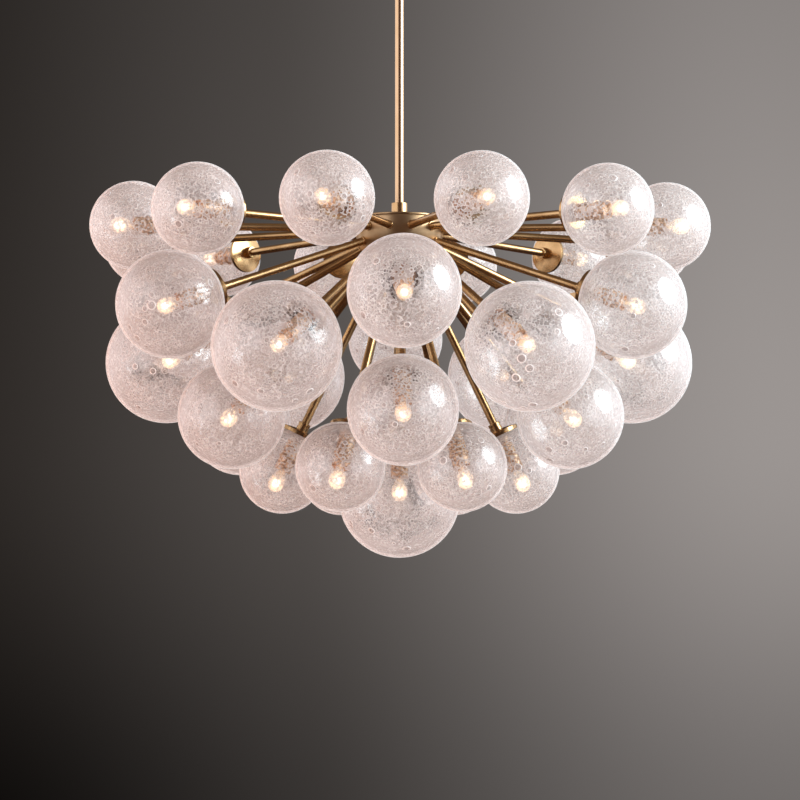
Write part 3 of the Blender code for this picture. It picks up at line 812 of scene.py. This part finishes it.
def made_plain(piece: bpy.types.Object, material: bpy.types.Material) -> None:
    """Turn what an object's modifiers make into its own plain mesh of one material, and remove them."""
    bpy.context.view_layer.update()
    depsgraph = bpy.context.evaluated_depsgraph_get()
    mesh = bpy.data.meshes.new_from_object(piece.evaluated_get(depsgraph), depsgraph=depsgraph)
    source = piece.data
    piece.modifiers.clear()
    piece.data = mesh
    bpy.data.meshes.remove(source)
    mesh.name = piece.name
    mesh.materials.clear()
    mesh.materials.append(material)
    mesh.polygons.foreach_set("material_index", [0] * len(mesh.polygons))


@dataclass(frozen=True)
class Row:
    """One row of globes round the hub; angles in degrees, azimuth 0 at the front."""

    name: str
    count: int
    first_azimuth: float
    elevation: float
    globe: float

    @property
    def radius(self) -> float:
        """Outer radius of a globe."""
        return self.globe / 2

    def directions(self) -> list[Vector]:
        """Unit vectors from the hub's centre towards each globe."""
        turns = [self.first_azimuth + 360 / self.count * index for index in range(self.count)]
        return [direction(turn, self.elevation) for turn in turns]

    def globe_nodes(self) -> list[str]:
        """Names of the CAD nodes of the row's globes."""
        if self.count == 1:
            return [f"globe_{self.name}"]
        return [f"globe_{self.name}_{index:02d}" for index in range(1, self.count + 1)]

    def arm_node(self) -> str:
        """Name of the CAD node of the row's arms."""
        return "arm_centre" if self.count == 1 else f"arm_ring_{self.name}"


@dataclass
class Cluster:
    """All spokes: arms, caps, sockets, lamps and globes, with the bubbles in their walls."""

    rows: tuple[Row, ...] = (
        Row("top", 12, 15.0, -1.3, 5 * INCH),
        Row("upper", 6, 0.0, -19.3, 6 * INCH),
        Row("middle", 6, 30.0, -30.1, 7 * INCH),
        Row("lower", 6, 0.0, -45.7, 6 * INCH),
        Row("bottom", 6, 30.0, -64.3, 5 * INCH),
        Row("centre", 1, 0.0, -90.0, 7 * INCH),
    )
    globe_gap: float = 19.5 * MM
    glass_wall: float = 3.2 * MM
    outer_steps: int = 34
    inner_steps: int = 30
    seat_gap: float = 0.3 * MM
    arm_radius: float = 5.7 * MM
    arm_start: float = 60 * MM
    arm_round: float = 0.6 * MM
    ferrule_radius: float = 6.9 * MM
    ferrule_length: float = 6.8 * MM
    collar_radius: float = 9 * MM
    collar_length: float = 11 * MM
    collar_groove: float = 0.42
    groove_depth: float = 0.8 * MM
    groove_width: float = 1.6 * MM
    groove_slope: float = 0.3
    cap_radius: float = 30 * MM
    cap_wall: float = 1.6 * MM
    cap_lip: float = 2.6 * MM
    cap_edge: float = 5.4 * MM
    cap_inset: float = 0.2 * MM
    cap_round: float = 0.5 * MM
    cap_steps: int = 9
    socket_radius: float = 12.5 * MM
    socket_wall: float = 1.2 * MM
    socket_round: float = 0.4 * MM
    socket_grooves: tuple[float, ...] = (0.18, 0.26, 0.34)
    shade_ring: float = 0.62
    shade_ring_radius: float = 14.2 * MM
    shade_ring_width: float = 3 * MM
    mouth_depth: float = 8 * MM
    bulb_radius: float = 12 * MM
    bulb_foot: float = 7 * MM
    bulb_neck: Range = (3 * MM, 12 * MM)
    bulb_neck_radius: float = 6 * MM
    bulb_round: float = 4 * MM
    bulb_length: float = 34 * MM
    bulb_steps: int = 8
    bulb_tip_gap: float = 25.3 * MM
    bubble_density: float = 900.0
    least_bubble: float = 1.6 * MM
    most_bubble: float = 7 * MM
    bubble_thickness: float = 1.5 * MM
    bubble_margin: float = math.radians(6)
    bubble_sheet: tuple[int, int] = (48, 24)
    clear_above: float = 6.5 * INCH
    sides: int = 32
    globe_sides: int = 64
    fan_out: Tree = field(default_factory=fan_tree)
    bubbles: Tree = field(default_factory=bubble_tree)
    reach: float = field(init=False)
    hub_height: float = field(init=False)

    def __post_init__(self) -> None:
        """Work out the sphere of the globes' centres and its middle."""
        globes = [(aim, row.radius) for row in self.rows for aim in row.directions()]
        needed = [(a[1] + b[1] + self.globe_gap) / (a[0] - b[0]).length for a, b in combinations(globes, 2)]
        self.reach = max(needed)
        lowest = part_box("globe_centre")[0][2]
        self.hub_height = lowest + self.rows[-1].radius + self.reach

    def seat_distance(self, row: Row) -> float:
        """Distance from a globe's centre back to its ground neck."""
        return other_side(row.radius, self.cap_radius)

    def seat(self, row: Row) -> float:
        """Distance from the hub's centre to the cap's underside."""
        return self.reach - self.seat_distance(row) - self.seat_gap

    def socket_end(self, row: Row) -> float:
        """Distance from the hub's centre to the socket's open end."""
        small = self.rows[0]
        far_wall = self.seat_distance(small) + small.radius - self.glass_wall
        return self.seat(row) + far_wall - self.bulb_tip_gap - self.bulb_length

    def arm_profile(self, row: Row) -> list[Point]:
        """Profile of the arm with its ferrule, collar and domed cap."""
        seat = self.seat(row)
        crown = self.reach - row.radius - self.seat_gap - self.cap_wall
        rise = seat - self.cap_edge - crown
        dome = (self.cap_radius**2 + rise**2) / (2 * rise)
        first = math.asin(self.collar_radius / dome)
        last = math.asin(min((self.cap_radius - self.cap_inset) / dome, 1.0))
        cap = [(radius, crown + dome - height) for radius, height in arc(dome, first, last, self.cap_steps)]
        foot = crown - self.collar_length
        middle = foot + self.collar_length * self.collar_groove
        ferrule_end = self.arm_start + self.ferrule_length
        arm = [
            (0.0, self.arm_start),
            (self.ferrule_radius, self.arm_start),
            (self.ferrule_radius, ferrule_end),
            (self.arm_radius, ferrule_end),
            (self.arm_radius, foot),
            (self.collar_radius, foot),
            (self.collar_radius, middle),
            (self.collar_radius - self.groove_depth, middle),
            (self.collar_radius - self.groove_depth, middle + self.groove_width),
            (self.collar_radius, middle + self.groove_width),
        ]
        under = [
            (self.cap_radius, seat - self.cap_edge),
            (self.cap_radius, seat),
            (self.socket_radius, seat),
            (self.socket_radius, seat - self.cap_lip / 2),
            (0.0, seat - self.cap_lip / 2),
        ]
        return softened(arm, self.arm_round) + cap + softened(under, self.cap_round)

    def socket_profile(self, row: Row) -> list[Point]:
        """Profile of the socket: a sleeve with grooves, a shade ring and an open mouth."""
        low = self.seat(row)
        high = self.socket_end(row)
        length = high - low
        outer = self.socket_radius
        points = [(0.0, low + self.socket_wall), (outer, low + self.socket_wall)]
        for share in self.socket_grooves:
            spot = low + length * share
            points += [
                (outer, spot),
                (outer - self.groove_depth, spot + self.groove_width * self.groove_slope),
                (outer - self.groove_depth, spot + self.groove_width * (1 - self.groove_slope)),
                (outer, spot + self.groove_width),
            ]
        ring = low + length * self.shade_ring
        points += [
            (outer, ring),
            (self.shade_ring_radius, ring),
            (self.shade_ring_radius, ring + self.shade_ring_width),
            (outer, ring + self.shade_ring_width),
            (outer, high),
            (outer - self.socket_wall, high),
            (outer - self.socket_wall, high - self.mouth_depth),
            (0.0, high - self.mouth_depth),
        ]
        return softened(points, self.socket_round, 2)

    def lamp_profile(self, row: Row) -> list[Point]:
        """Profile of the lamp, a capsule with a rounded tip."""
        base = self.socket_end(row)
        low = base - self.bulb_foot
        tip = base + self.bulb_length - self.bulb_radius
        round_tip = arc(self.bulb_radius, math.pi / 2, 0.0, self.bulb_steps, tip)
        neck = self.bulb_neck_radius
        start, end = self.bulb_neck
        points = [(0.0, low), (neck, low), (neck, base + start), (self.bulb_radius, base + end)]
        return softened(points + round_tip[:1], self.bulb_round) + round_tip[1:]

    def globe_profile(self, row: Row) -> list[Point]:
        """Profile of the globe's hollow wall, open at its ground neck."""
        neck = -self.seat_distance(row)
        outer = row.radius
        inner = outer - self.glass_wall
        outside = arc(outer, 0.0, math.acos(neck / outer), self.outer_steps, self.reach)
        inside = arc(inner, math.acos(neck / inner), 0.0, self.inner_steps, self.reach)
        outside[0] = (0.0, self.reach + outer)
        inside[-1] = (0.0, self.reach + inner)
        return outside + inside

    def middle_of_wall(self, row: Row, steps: int) -> list[Point]:
        """Profile, in steps, of the surface in the middle of the globe's wall, on which the bubbles lie."""
        middle = row.radius - self.glass_wall / 2
        last = math.acos(-self.seat_distance(row) / row.radius) - self.bubble_margin
        points = arc(middle, 0.0, last, steps, self.reach)
        points[0] = (0.0, self.reach + middle)
        return points

    def fan(
        self, name: str, mesh: bpy.types.Mesh, row: Row, material: bpy.types.Material
    ) -> bpy.types.Object:
        """Add an object that copies one spoke's mesh to each direction of a row.

        Args:
            name: The object's name.
            mesh: The spoke's mesh along local +Z.
            row: The row.
            material: The material of all copies.

        Returns:
            The object, with the tree that fans out as its modifier.
        """
        piece = placed(name, mesh)
        values = {
            "Count": row.count,
            "First Azimuth": math.radians(row.first_azimuth),
            "Elevation": math.radians(row.elevation),
            "Hub Height": self.hub_height,
            "Material": material,
        }
        self.fan_out.use_on(piece, values)
        return piece

    def build(self, finishes: Finishes) -> None:
        """Build every row."""
        for number, row in enumerate(self.rows):
            solid = (
                ("arms", self.arm_profile, "brass", Slot.BRASS, [row.arm_node()]),
                ("sockets", self.socket_profile, "socket brass", Slot.BRASS, []),
                ("lamps", self.lamp_profile, "lamp", Slot.GLASS, []),
            )
            for kind, profile, finish, slot, nodes in solid:
                name = f"{kind}_{row.name}"
                mesh = turned(name, profile(row), self.sides)
                mark_along(mesh)
                piece = self.fan(name, mesh, row, finishes[finish])
                made_plain(piece, finishes[finish])
                finish_piece(piece, Body.DROP, nodes)
            self.build_globes(row, finishes)
            self.build_bubbles(row, number + 1, finishes["bubble"])

    def build_globes(self, row: Row, finishes: Finishes) -> None:
        """Build a row's globes, clear outside and milky inside."""
        name = f"globes_{row.name}"
        mesh = turned(name, self.globe_profile(row), self.globe_sides)
        kind = "large " if row.globe > self.clear_above else ""
        piece = self.fan(name, mesh, row, finishes[f"{kind}clear skin"])
        made_plain(piece, finishes[f"{kind}clear skin"])
        piece.data.materials.append(finishes[f"{kind}seeded veil"])
        middle = row.radius - self.glass_wall / 2
        hub = Vector((0.0, 0.0, self.hub_height))
        centres = [hub + aim * self.reach for aim in row.directions()]
        per_globe = len(piece.data.polygons) // row.count
        for polygon in piece.data.polygons:
            centre = centres[polygon.index // per_globe]
            if (polygon.center - centre).length < middle:
                polygon.material_index = 1
        finish_piece(piece, Body.DROP, row.globe_nodes())

    def build_bubbles(self, row: Row, seed: int, material: bpy.types.Material) -> None:
        """Build the large bubbles in the walls of a row's globes.

        Args:
            row: The row.
            seed: Seed of the scatter.
            material: The bubbles' material.
        """
        name = f"bubbles_{row.name}"
        sides, steps = self.bubble_sheet
        mesh = turned(name, self.middle_of_wall(row, steps), sides, sheet=True)
        piece = self.fan(name, mesh, row, material)
        values = {
            "Density": self.bubble_density,
            "Seed": seed,
            "Least": self.least_bubble,
            "Most": self.most_bubble,
            "Thickness": self.bubble_thickness,
            "Material": material,
        }
        self.bubbles.use_on(piece, values)
        made_plain(piece, material)
        finish_piece(piece, Body.DROP)


@dataclass
class Hub:
    """The smooth bowl that the arms grow out of, with its lid."""

    cluster: Cluster
    rim: float = 14 * MM
    lid_thickness: float = 3 * MM
    lid_gap: float = 0.3 * MM
    bowl_wall: float = 3 * MM
    outer_steps: int = 40
    inner_steps: int = 24
    stem_hole: float = 5 * MM
    edge_round: float = 0.9 * MM
    sides: int = 96

    def bowl_radius(self) -> float:
        """Radius of the bowl, whose rim is as wide as the CAD lid."""
        low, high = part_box("hub_lid")
        return math.hypot((high[0] - low[0]) / 2, self.rim)

    def build(self, finishes: Finishes) -> None:
        """Build the bowl and the lid."""
        height = self.cluster.hub_height
        outer = self.bowl_radius()
        inner = outer - self.bowl_wall
        outside = arc(outer, math.acos(self.rim / outer), math.pi, self.outer_steps)
        outside[-1] = (0.0, -outer)
        inside = arc(inner, math.pi, math.acos(self.rim / inner), self.inner_steps)
        inside[0] = (0.0, -inner)
        rim = softened([outside[1], outside[0], inside[-1], inside[-2]], self.edge_round)
        bowl = turned("hub_bowl", inside[:-1] + rim[::-1] + outside[1:], self.sides)
        add_piece("hub_bowl", moved(bowl, z=height), finishes["hub brass with painted shade"], Body.DROP)
        edge = other_side(outer, self.rim)
        low = self.rim + self.lid_gap
        top = low + self.lid_thickness
        corners = [(self.stem_hole, top), (edge, top), (edge, low), (self.stem_hole, low)]
        lid = softened(corners, self.edge_round, 4, closed=True)
        lid = turned("hub_lid_turned", lid, self.sides, closed=True)
        add_piece("hub_lid_turned", moved(lid, z=height), finishes["hub brass with painted shade"], Body.DROP, ["hub_lid"])


@dataclass
class Drop:
    """The rod and the collar at its foot."""

    collar_wall: float = 5 * MM
    collar_gap: float = 0.3 * MM
    stem_hole: float = 5 * MM
    edge_round: float = 0.6 * MM
    sides: int = 64

    def build(self, finishes: Finishes) -> None:
        """Build the rod and its collar in the places of their CAD nodes."""
        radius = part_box("down_rod")[1][0]
        inner = radius + self.collar_gap
        self.build_sleeve("rod", "down_rod", (radius, self.stem_hole), finishes["rod brass"])
        self.build_sleeve("foot_collar", "rod_collar", (inner + self.collar_wall, inner), finishes["brass"])

    def build_sleeve(self, name: str, node: str, radii: Range, material: bpy.types.Material) -> None:
        """Build one turned sleeve.

        Args:
            name: The piece's name.
            node: The CAD node in whose place it stands.
            radii: Its outer and inner radius.
            material: Its finish.
        """
        outer, inner = radii
        low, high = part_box(node)
        corners = [(outer, low[2]), (outer, high[2]), (inner, high[2]), (inner, low[2])]
        mesh = turned(name, softened(corners, self.edge_round, closed=True), self.sides, closed=True)
        add_piece(name, mesh, material, Body.DROP, [node])


@dataclass
class Canopy:
    """The round cover against the ceiling and its two knobs."""

    radius: float = 63.5 * MM
    depth: float = 30 * MM
    wall: float = 1.5 * MM
    shoulder: float = 8 * MM
    shoulder_steps: int = 12
    bush_gap: float = 0.3 * MM
    bush_radius: float = 13 * MM
    sides: int = 128
    knob_shape: tuple[Point, ...] = ((0.62, 0.0), (0.62, 0.22), (1.0, 0.36), (1.0, 0.72), (0.55, 1.0))
    knob_round: float = 0.2
    knob_sides: int = 40

    def shoulder_round(self, radius: float) -> list[Point]:
        """The shoulder's round at a radius, from the flat face to the side."""
        turns = [math.pi / 2 * index / self.shoulder_steps for index in range(self.shoulder_steps + 1)]
        middle = self.radius - self.shoulder
        height = self.shoulder - self.depth
        return [(middle + radius * math.sin(turn), height - radius * math.cos(turn)) for turn in turns]

    def profile(self) -> list[Point]:
        """Closed profile of the shell, from its bush hole round the shoulder to the rim and back inside."""
        hole = self.bush_radius + self.bush_gap
        outside = [(hole, -self.depth), *self.shoulder_round(self.shoulder), (self.radius, 0.0)]
        inside = [(hole, self.wall - self.depth), *self.shoulder_round(self.shoulder - self.wall)]
        return outside + [(self.radius - self.wall, 0.0)] + inside[::-1]

    def build(self, finishes: Finishes) -> None:
        """Build the shell and the knobs in the places of their CAD nodes."""
        shell = turned("canopy_shell", self.profile(), self.sides, closed=True)
        add_piece("canopy_shell", shell, finishes["brass"], Body.CEILING, ["canopy"])
        for side in ("left", "right"):
            self.build_knob(side, finishes["brass"])

    def build_knob(self, side: str, material: bpy.types.Material) -> None:
        """Build the turned knob of a side, left or right, in a finish."""
        node = f"canopy_knob_{side}"
        low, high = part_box(node)
        radius = (high[1] - low[1]) / 2
        length = high[2] - low[2]
        corners = [(radius * width, high[2] - length * drop) for width, drop in self.knob_shape]
        points = softened([(0.0, high[2]), *corners, (0.0, low[2])], radius * self.knob_round, 4)
        mesh = moved(turned(node, points, self.knob_sides), x=(low[0] + high[0]) / 2)
        add_piece(f"knob_{side}", mesh, material, Body.CEILING, [node])


class Shape(Enum):
    """Shapes of a softbox's face."""

    ROUND = "ELLIPSE"
    SQUARE = "RECTANGLE"


@dataclass(frozen=True)
class Softbox:
    """A softbox that faces the chandelier; angles in degrees, radiance is how bright its face is."""

    name: str
    azimuth: float
    elevation: float
    distance: float
    size: Point
    radiance: float
    color: Color
    shape: Shape = Shape.SQUARE
    mirrored: bool = True

    def add(self, middle: Vector) -> None:
        """Add the light, facing a middle."""
        data = bpy.data.lights.new(self.name, "AREA")
        data.shape = self.shape.value
        data.size, data.size_y = self.size
        data.color = self.color
        fill = math.pi / 4 if self.shape is Shape.ROUND else 1.0
        data.energy = self.radiance * math.pi * self.size[0] * self.size[1] * fill
        light = placed(self.name, data)
        light.location = middle + direction(self.azimuth, self.elevation) * self.distance
        light.rotation_euler = (middle - light.location).to_track_quat("-Z", "Y").to_euler()
        light.visible_camera = False
        light.visible_glossy = self.mirrored


@dataclass
class World:
    """What surrounds the scene, by how far right (across) and how far up a direction points."""

    daylight_left: Color = (1.30, 0.80, 0.65)
    daylight_right: Color = (2.14, 2.38, 2.52)
    daylight_range: Range = (-0.8, 0.8)
    backdrop_dark: Color = (0.022, 0.018, 0.0155)
    backdrop_middle: Color = (0.098, 0.087, 0.081)
    backdrop_light: Color = (0.330, 0.302, 0.290)
    backdrop_level: float = 0.06
    backdrop_slant: float = 0.06
    middle_range: Range = (-0.185, 0.03)
    light_range: Range = (-0.03, 0.175)
    beyond_range: Range = (-0.7, -0.3)
    low_range: Range = (-0.12, 0.05)
    low_dim: float = 0.86
    low_lift: float = 0.36
    high_range: Range = (0.05, 0.3)
    high_share: float = 0.7
    mirrored_dark: Color = (0.075, 0.045, 0.038)
    mirrored_left: Color = (1.16, 1.12, 1.16)
    mirrored_top: Color = (0.13, 0.095, 0.07)
    mirrored_right: Color = (1.25, 1.32, 1.42)
    panel_range: Range = (0.42, 0.8)
    left_range: Range = (-0.62, -0.28)
    right_range: Range = (0.44, 0.70)
    top_range: Range = (0.35, 0.85)
    foot_range: Range = (-0.5, 0.03)
    graph: Graph = field(init=False)
    across: Output = field(init=False)
    up: Output = field(init=False)

    def build(self) -> None:
        """Light the scene softly, show a grey backdrop to the camera and soft panels to what reflects."""
        world = bpy.data.worlds.new("studio")
        world.use_nodes = True
        world.node_tree.nodes.clear()
        graph = self.graph = Graph(world.node_tree)
        place = graph.output("ShaderNodeTexCoord", key="Generated")
        parts = graph.node("ShaderNodeSeparateXYZ", inputs={"Vector": place})
        self.across, self.up = graph.outputs(parts, "X", "Z")
        rays = ("Is Glossy Ray", "Is Camera Ray", "Is Transmission Ray")
        glossy, camera, through = graph.outputs(graph.node("ShaderNodeLightPath"), *rays)
        color = graph.blend(glossy, self.daylight(), self.mirrored())
        color = graph.blend(camera + through, color, self.backdrop())
        surface = graph.output("ShaderNodeBackground", inputs={"Color": color})
        graph.node("ShaderNodeOutputWorld", inputs={"Surface": surface})
        bpy.context.scene.world = world

    def daylight(self) -> Output:
        """The light, warm from the left and cool from the right."""
        share = self.graph.smooth(self.across, *self.daylight_range)
        return self.graph.blend(share, self.daylight_left, self.daylight_right)

    def backdrop(self) -> Output:
        """The grey backdrop, painted with light and shade: dark at the left and light at the right, dimmer
        low down and high up, and middle grey beyond the left.
        """
        graph, across, up = self.graph, self.across, self.up
        along = across + (up - self.backdrop_level) * self.backdrop_slant
        left = graph.smooth(along, *self.middle_range)
        color = graph.blend(left, self.backdrop_dark, self.backdrop_middle)
        color = graph.blend(graph.smooth(along, *self.light_range), color, self.backdrop_light)
        color = graph.blend(graph.fade(across, *self.beyond_range), color, self.backdrop_middle)
        # Painted shade: the backdrop dims low down and high up.
        low = graph.fade(up, *self.low_range) * (self.low_dim - self.low_lift * left)
        dim = (1 - low) * graph.smooth(up, *self.high_range, 1.0, self.high_share)
        return graph.blend(dim, BLACK, color)

    def mirrored(self) -> Output:
        """What brass and glass reflect: a dark front, soft panels at both sides and a dim one above."""
        graph, across, up = self.graph, self.across, self.up
        low_enough = graph.fade(up, *self.panel_range)
        left = graph.fade(across, *self.left_range) * low_enough
        right = graph.smooth(across, *self.right_range) * low_enough
        color = graph.blend(graph.smooth(up, *self.top_range), self.mirrored_dark, self.mirrored_top)
        color = graph.blend(right, color, self.mirrored_right)
        color = graph.blend(left, color, self.mirrored_left)
        return graph.blend(graph.smooth(up, *self.foot_range), self.mirrored_dark, color)


@dataclass
class Studio:
    """The camera at the photograph's angle, the lights and the floor."""

    image: float = 800.0
    sensor: float = 36.0
    focal: float = 2460.0
    clip_end: float = 100.0
    look_height: float = -688.8 * MM
    distance: float = 3616 * MM
    azimuth: float = -1.0
    elevation: float = -3.58
    shift_right: float = -0.6
    shift_up: float = 4.04
    floor_height: float = -2.3
    floor_radius: float = 6.0
    floor_sides: int = 64
    light_rise: float = 120 * MM
    softboxes: tuple[Softbox, ...] = (
        Softbox("key", 77.0, 19.0, 2.4, (1.7, 1.6), 6.5, (0.84, 0.95, 1.0), Shape.ROUND),
        Softbox("warm fill", -80.0, -15.0, 2.2, (1.6, 1.6), 2.6, (1.0, 0.52, 0.37), mirrored=False),
    )

    def build(self, finishes: Finishes) -> None:
        """Set up everything round the chandelier but its surroundings."""
        self.add_camera()
        self.add_floor(finishes["floor"])
        for softbox in self.softboxes:
            softbox.add(Vector((0.0, 0.0, self.look_height + self.light_rise)))

    def add_camera(self) -> None:
        """Add the camera and make it the scene's."""
        data = bpy.data.cameras.new("camera")
        data.sensor_width = self.sensor
        data.lens = self.focal / self.image * self.sensor
        data.shift_x = -self.shift_right / self.image
        data.shift_y = -self.shift_up / self.image
        data.clip_end = self.clip_end
        camera = placed("camera", data)
        target = Vector((0.0, 0.0, self.look_height))
        camera.location = target + direction(self.azimuth, self.elevation) * self.distance
        camera.rotation_euler = (target - camera.location).to_track_quat("-Z", "Y").to_euler()
        bpy.context.scene.camera = camera

    def add_floor(self, material: bpy.types.Material) -> None:
        """Add the pale floor under the chandelier."""
        points = [(0.0, self.floor_height), (self.floor_radius, self.floor_height)]
        mesh = turned("floor", points, self.floor_sides, sheet=True)
        mesh.materials.append(material)
        placed("floor", mesh)


def make_finishes() -> Finishes:
    """Build every material once.

    Returns:
        Materials by the name of their finish.
    """
    finishes = {
        "brass": Brass(),
        # The hub's brass has darker colours than the arms': painted shade. Its rougher satin and grain are
        # its own finish.
        "hub brass with painted shade": Brass(
            bright=(0.60, 0.40, 0.225), dull=(0.48, 0.30, 0.155), smoothest=0.26, roughest=0.4,
            grain_stretch=(1.0, 1.0, 6.0), grain_depth=0.002 * MM,
        ),
        "rod brass": Brass(bright=(0.82, 0.55, 0.33), dull=(0.78, 0.51, 0.29), smoothest=0.14, roughest=0.18),
        # The socket's fine speckle of pale copper and dark brown is painted glints and painted shade,
        # standing for the light and dark seen through the seeded glass.
        "socket brass": Brass(
            bright=(0.95, 0.66, 0.44), dull=(0.26, 0.12, 0.06), smoothest=0.3, roughest=0.5,
            metallic=0.4, tone_size=3.2 * MM,
        ),
        "clear skin": ClearSkin(),
        "seeded veil": SeededVeil(),
        "large clear skin": ClearSkin(far_share=0.9, far_clearest=0.3),
        "large seeded veil": SeededVeil(thick=0.76, clearest=0.42, edge_cover=0.7),
        "bubble": BubbleSkin(),
        "lamp": LampGlow(),
        "zinc": Zinc(),
        "plastic": MouldedPlastic(),
        "floor": FloorPaint(),
    }
    return {name: finish.material(name.replace(" ", "_")) for name, finish in finishes.items()}


def dress_frame(finishes: Finishes) -> None:
    """Give every CAD node that still shows its own finish."""
    finish_of_slot = dict(zip(Slot, ("brass", "clear skin", "zinc", "plastic")))
    slots = {part["node"]: Slot(part["material_slot"]) for part in frame["record"]["subparts"]}
    for name, node in frame["nodes"].items():
        if node.hide_render:
            continue
        finish = finish_of_slot[slots[name]]
        node.data.materials.clear()
        node.data.materials.append(finishes[finish])
        log.info("%s: %s", name, finish)


def main() -> None:
    """Build the scene round the frame."""
    logging.basicConfig(level=logging.INFO, format="%(name)s: %(message)s")
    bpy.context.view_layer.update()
    bpy.context.scene.view_settings.view_transform = "Standard"
    bpy.context.scene.cycles.transparent_max_bounces = GLASS_LAYERS
    finishes = make_finishes()
    cluster = Cluster()
    for part in (cluster, Hub(cluster), Drop(), Canopy()):
        part.build(finishes)
    dress_frame(finishes)
    World().build()
    Studio().build(finishes)


if __name__ == "__main__":
    main()
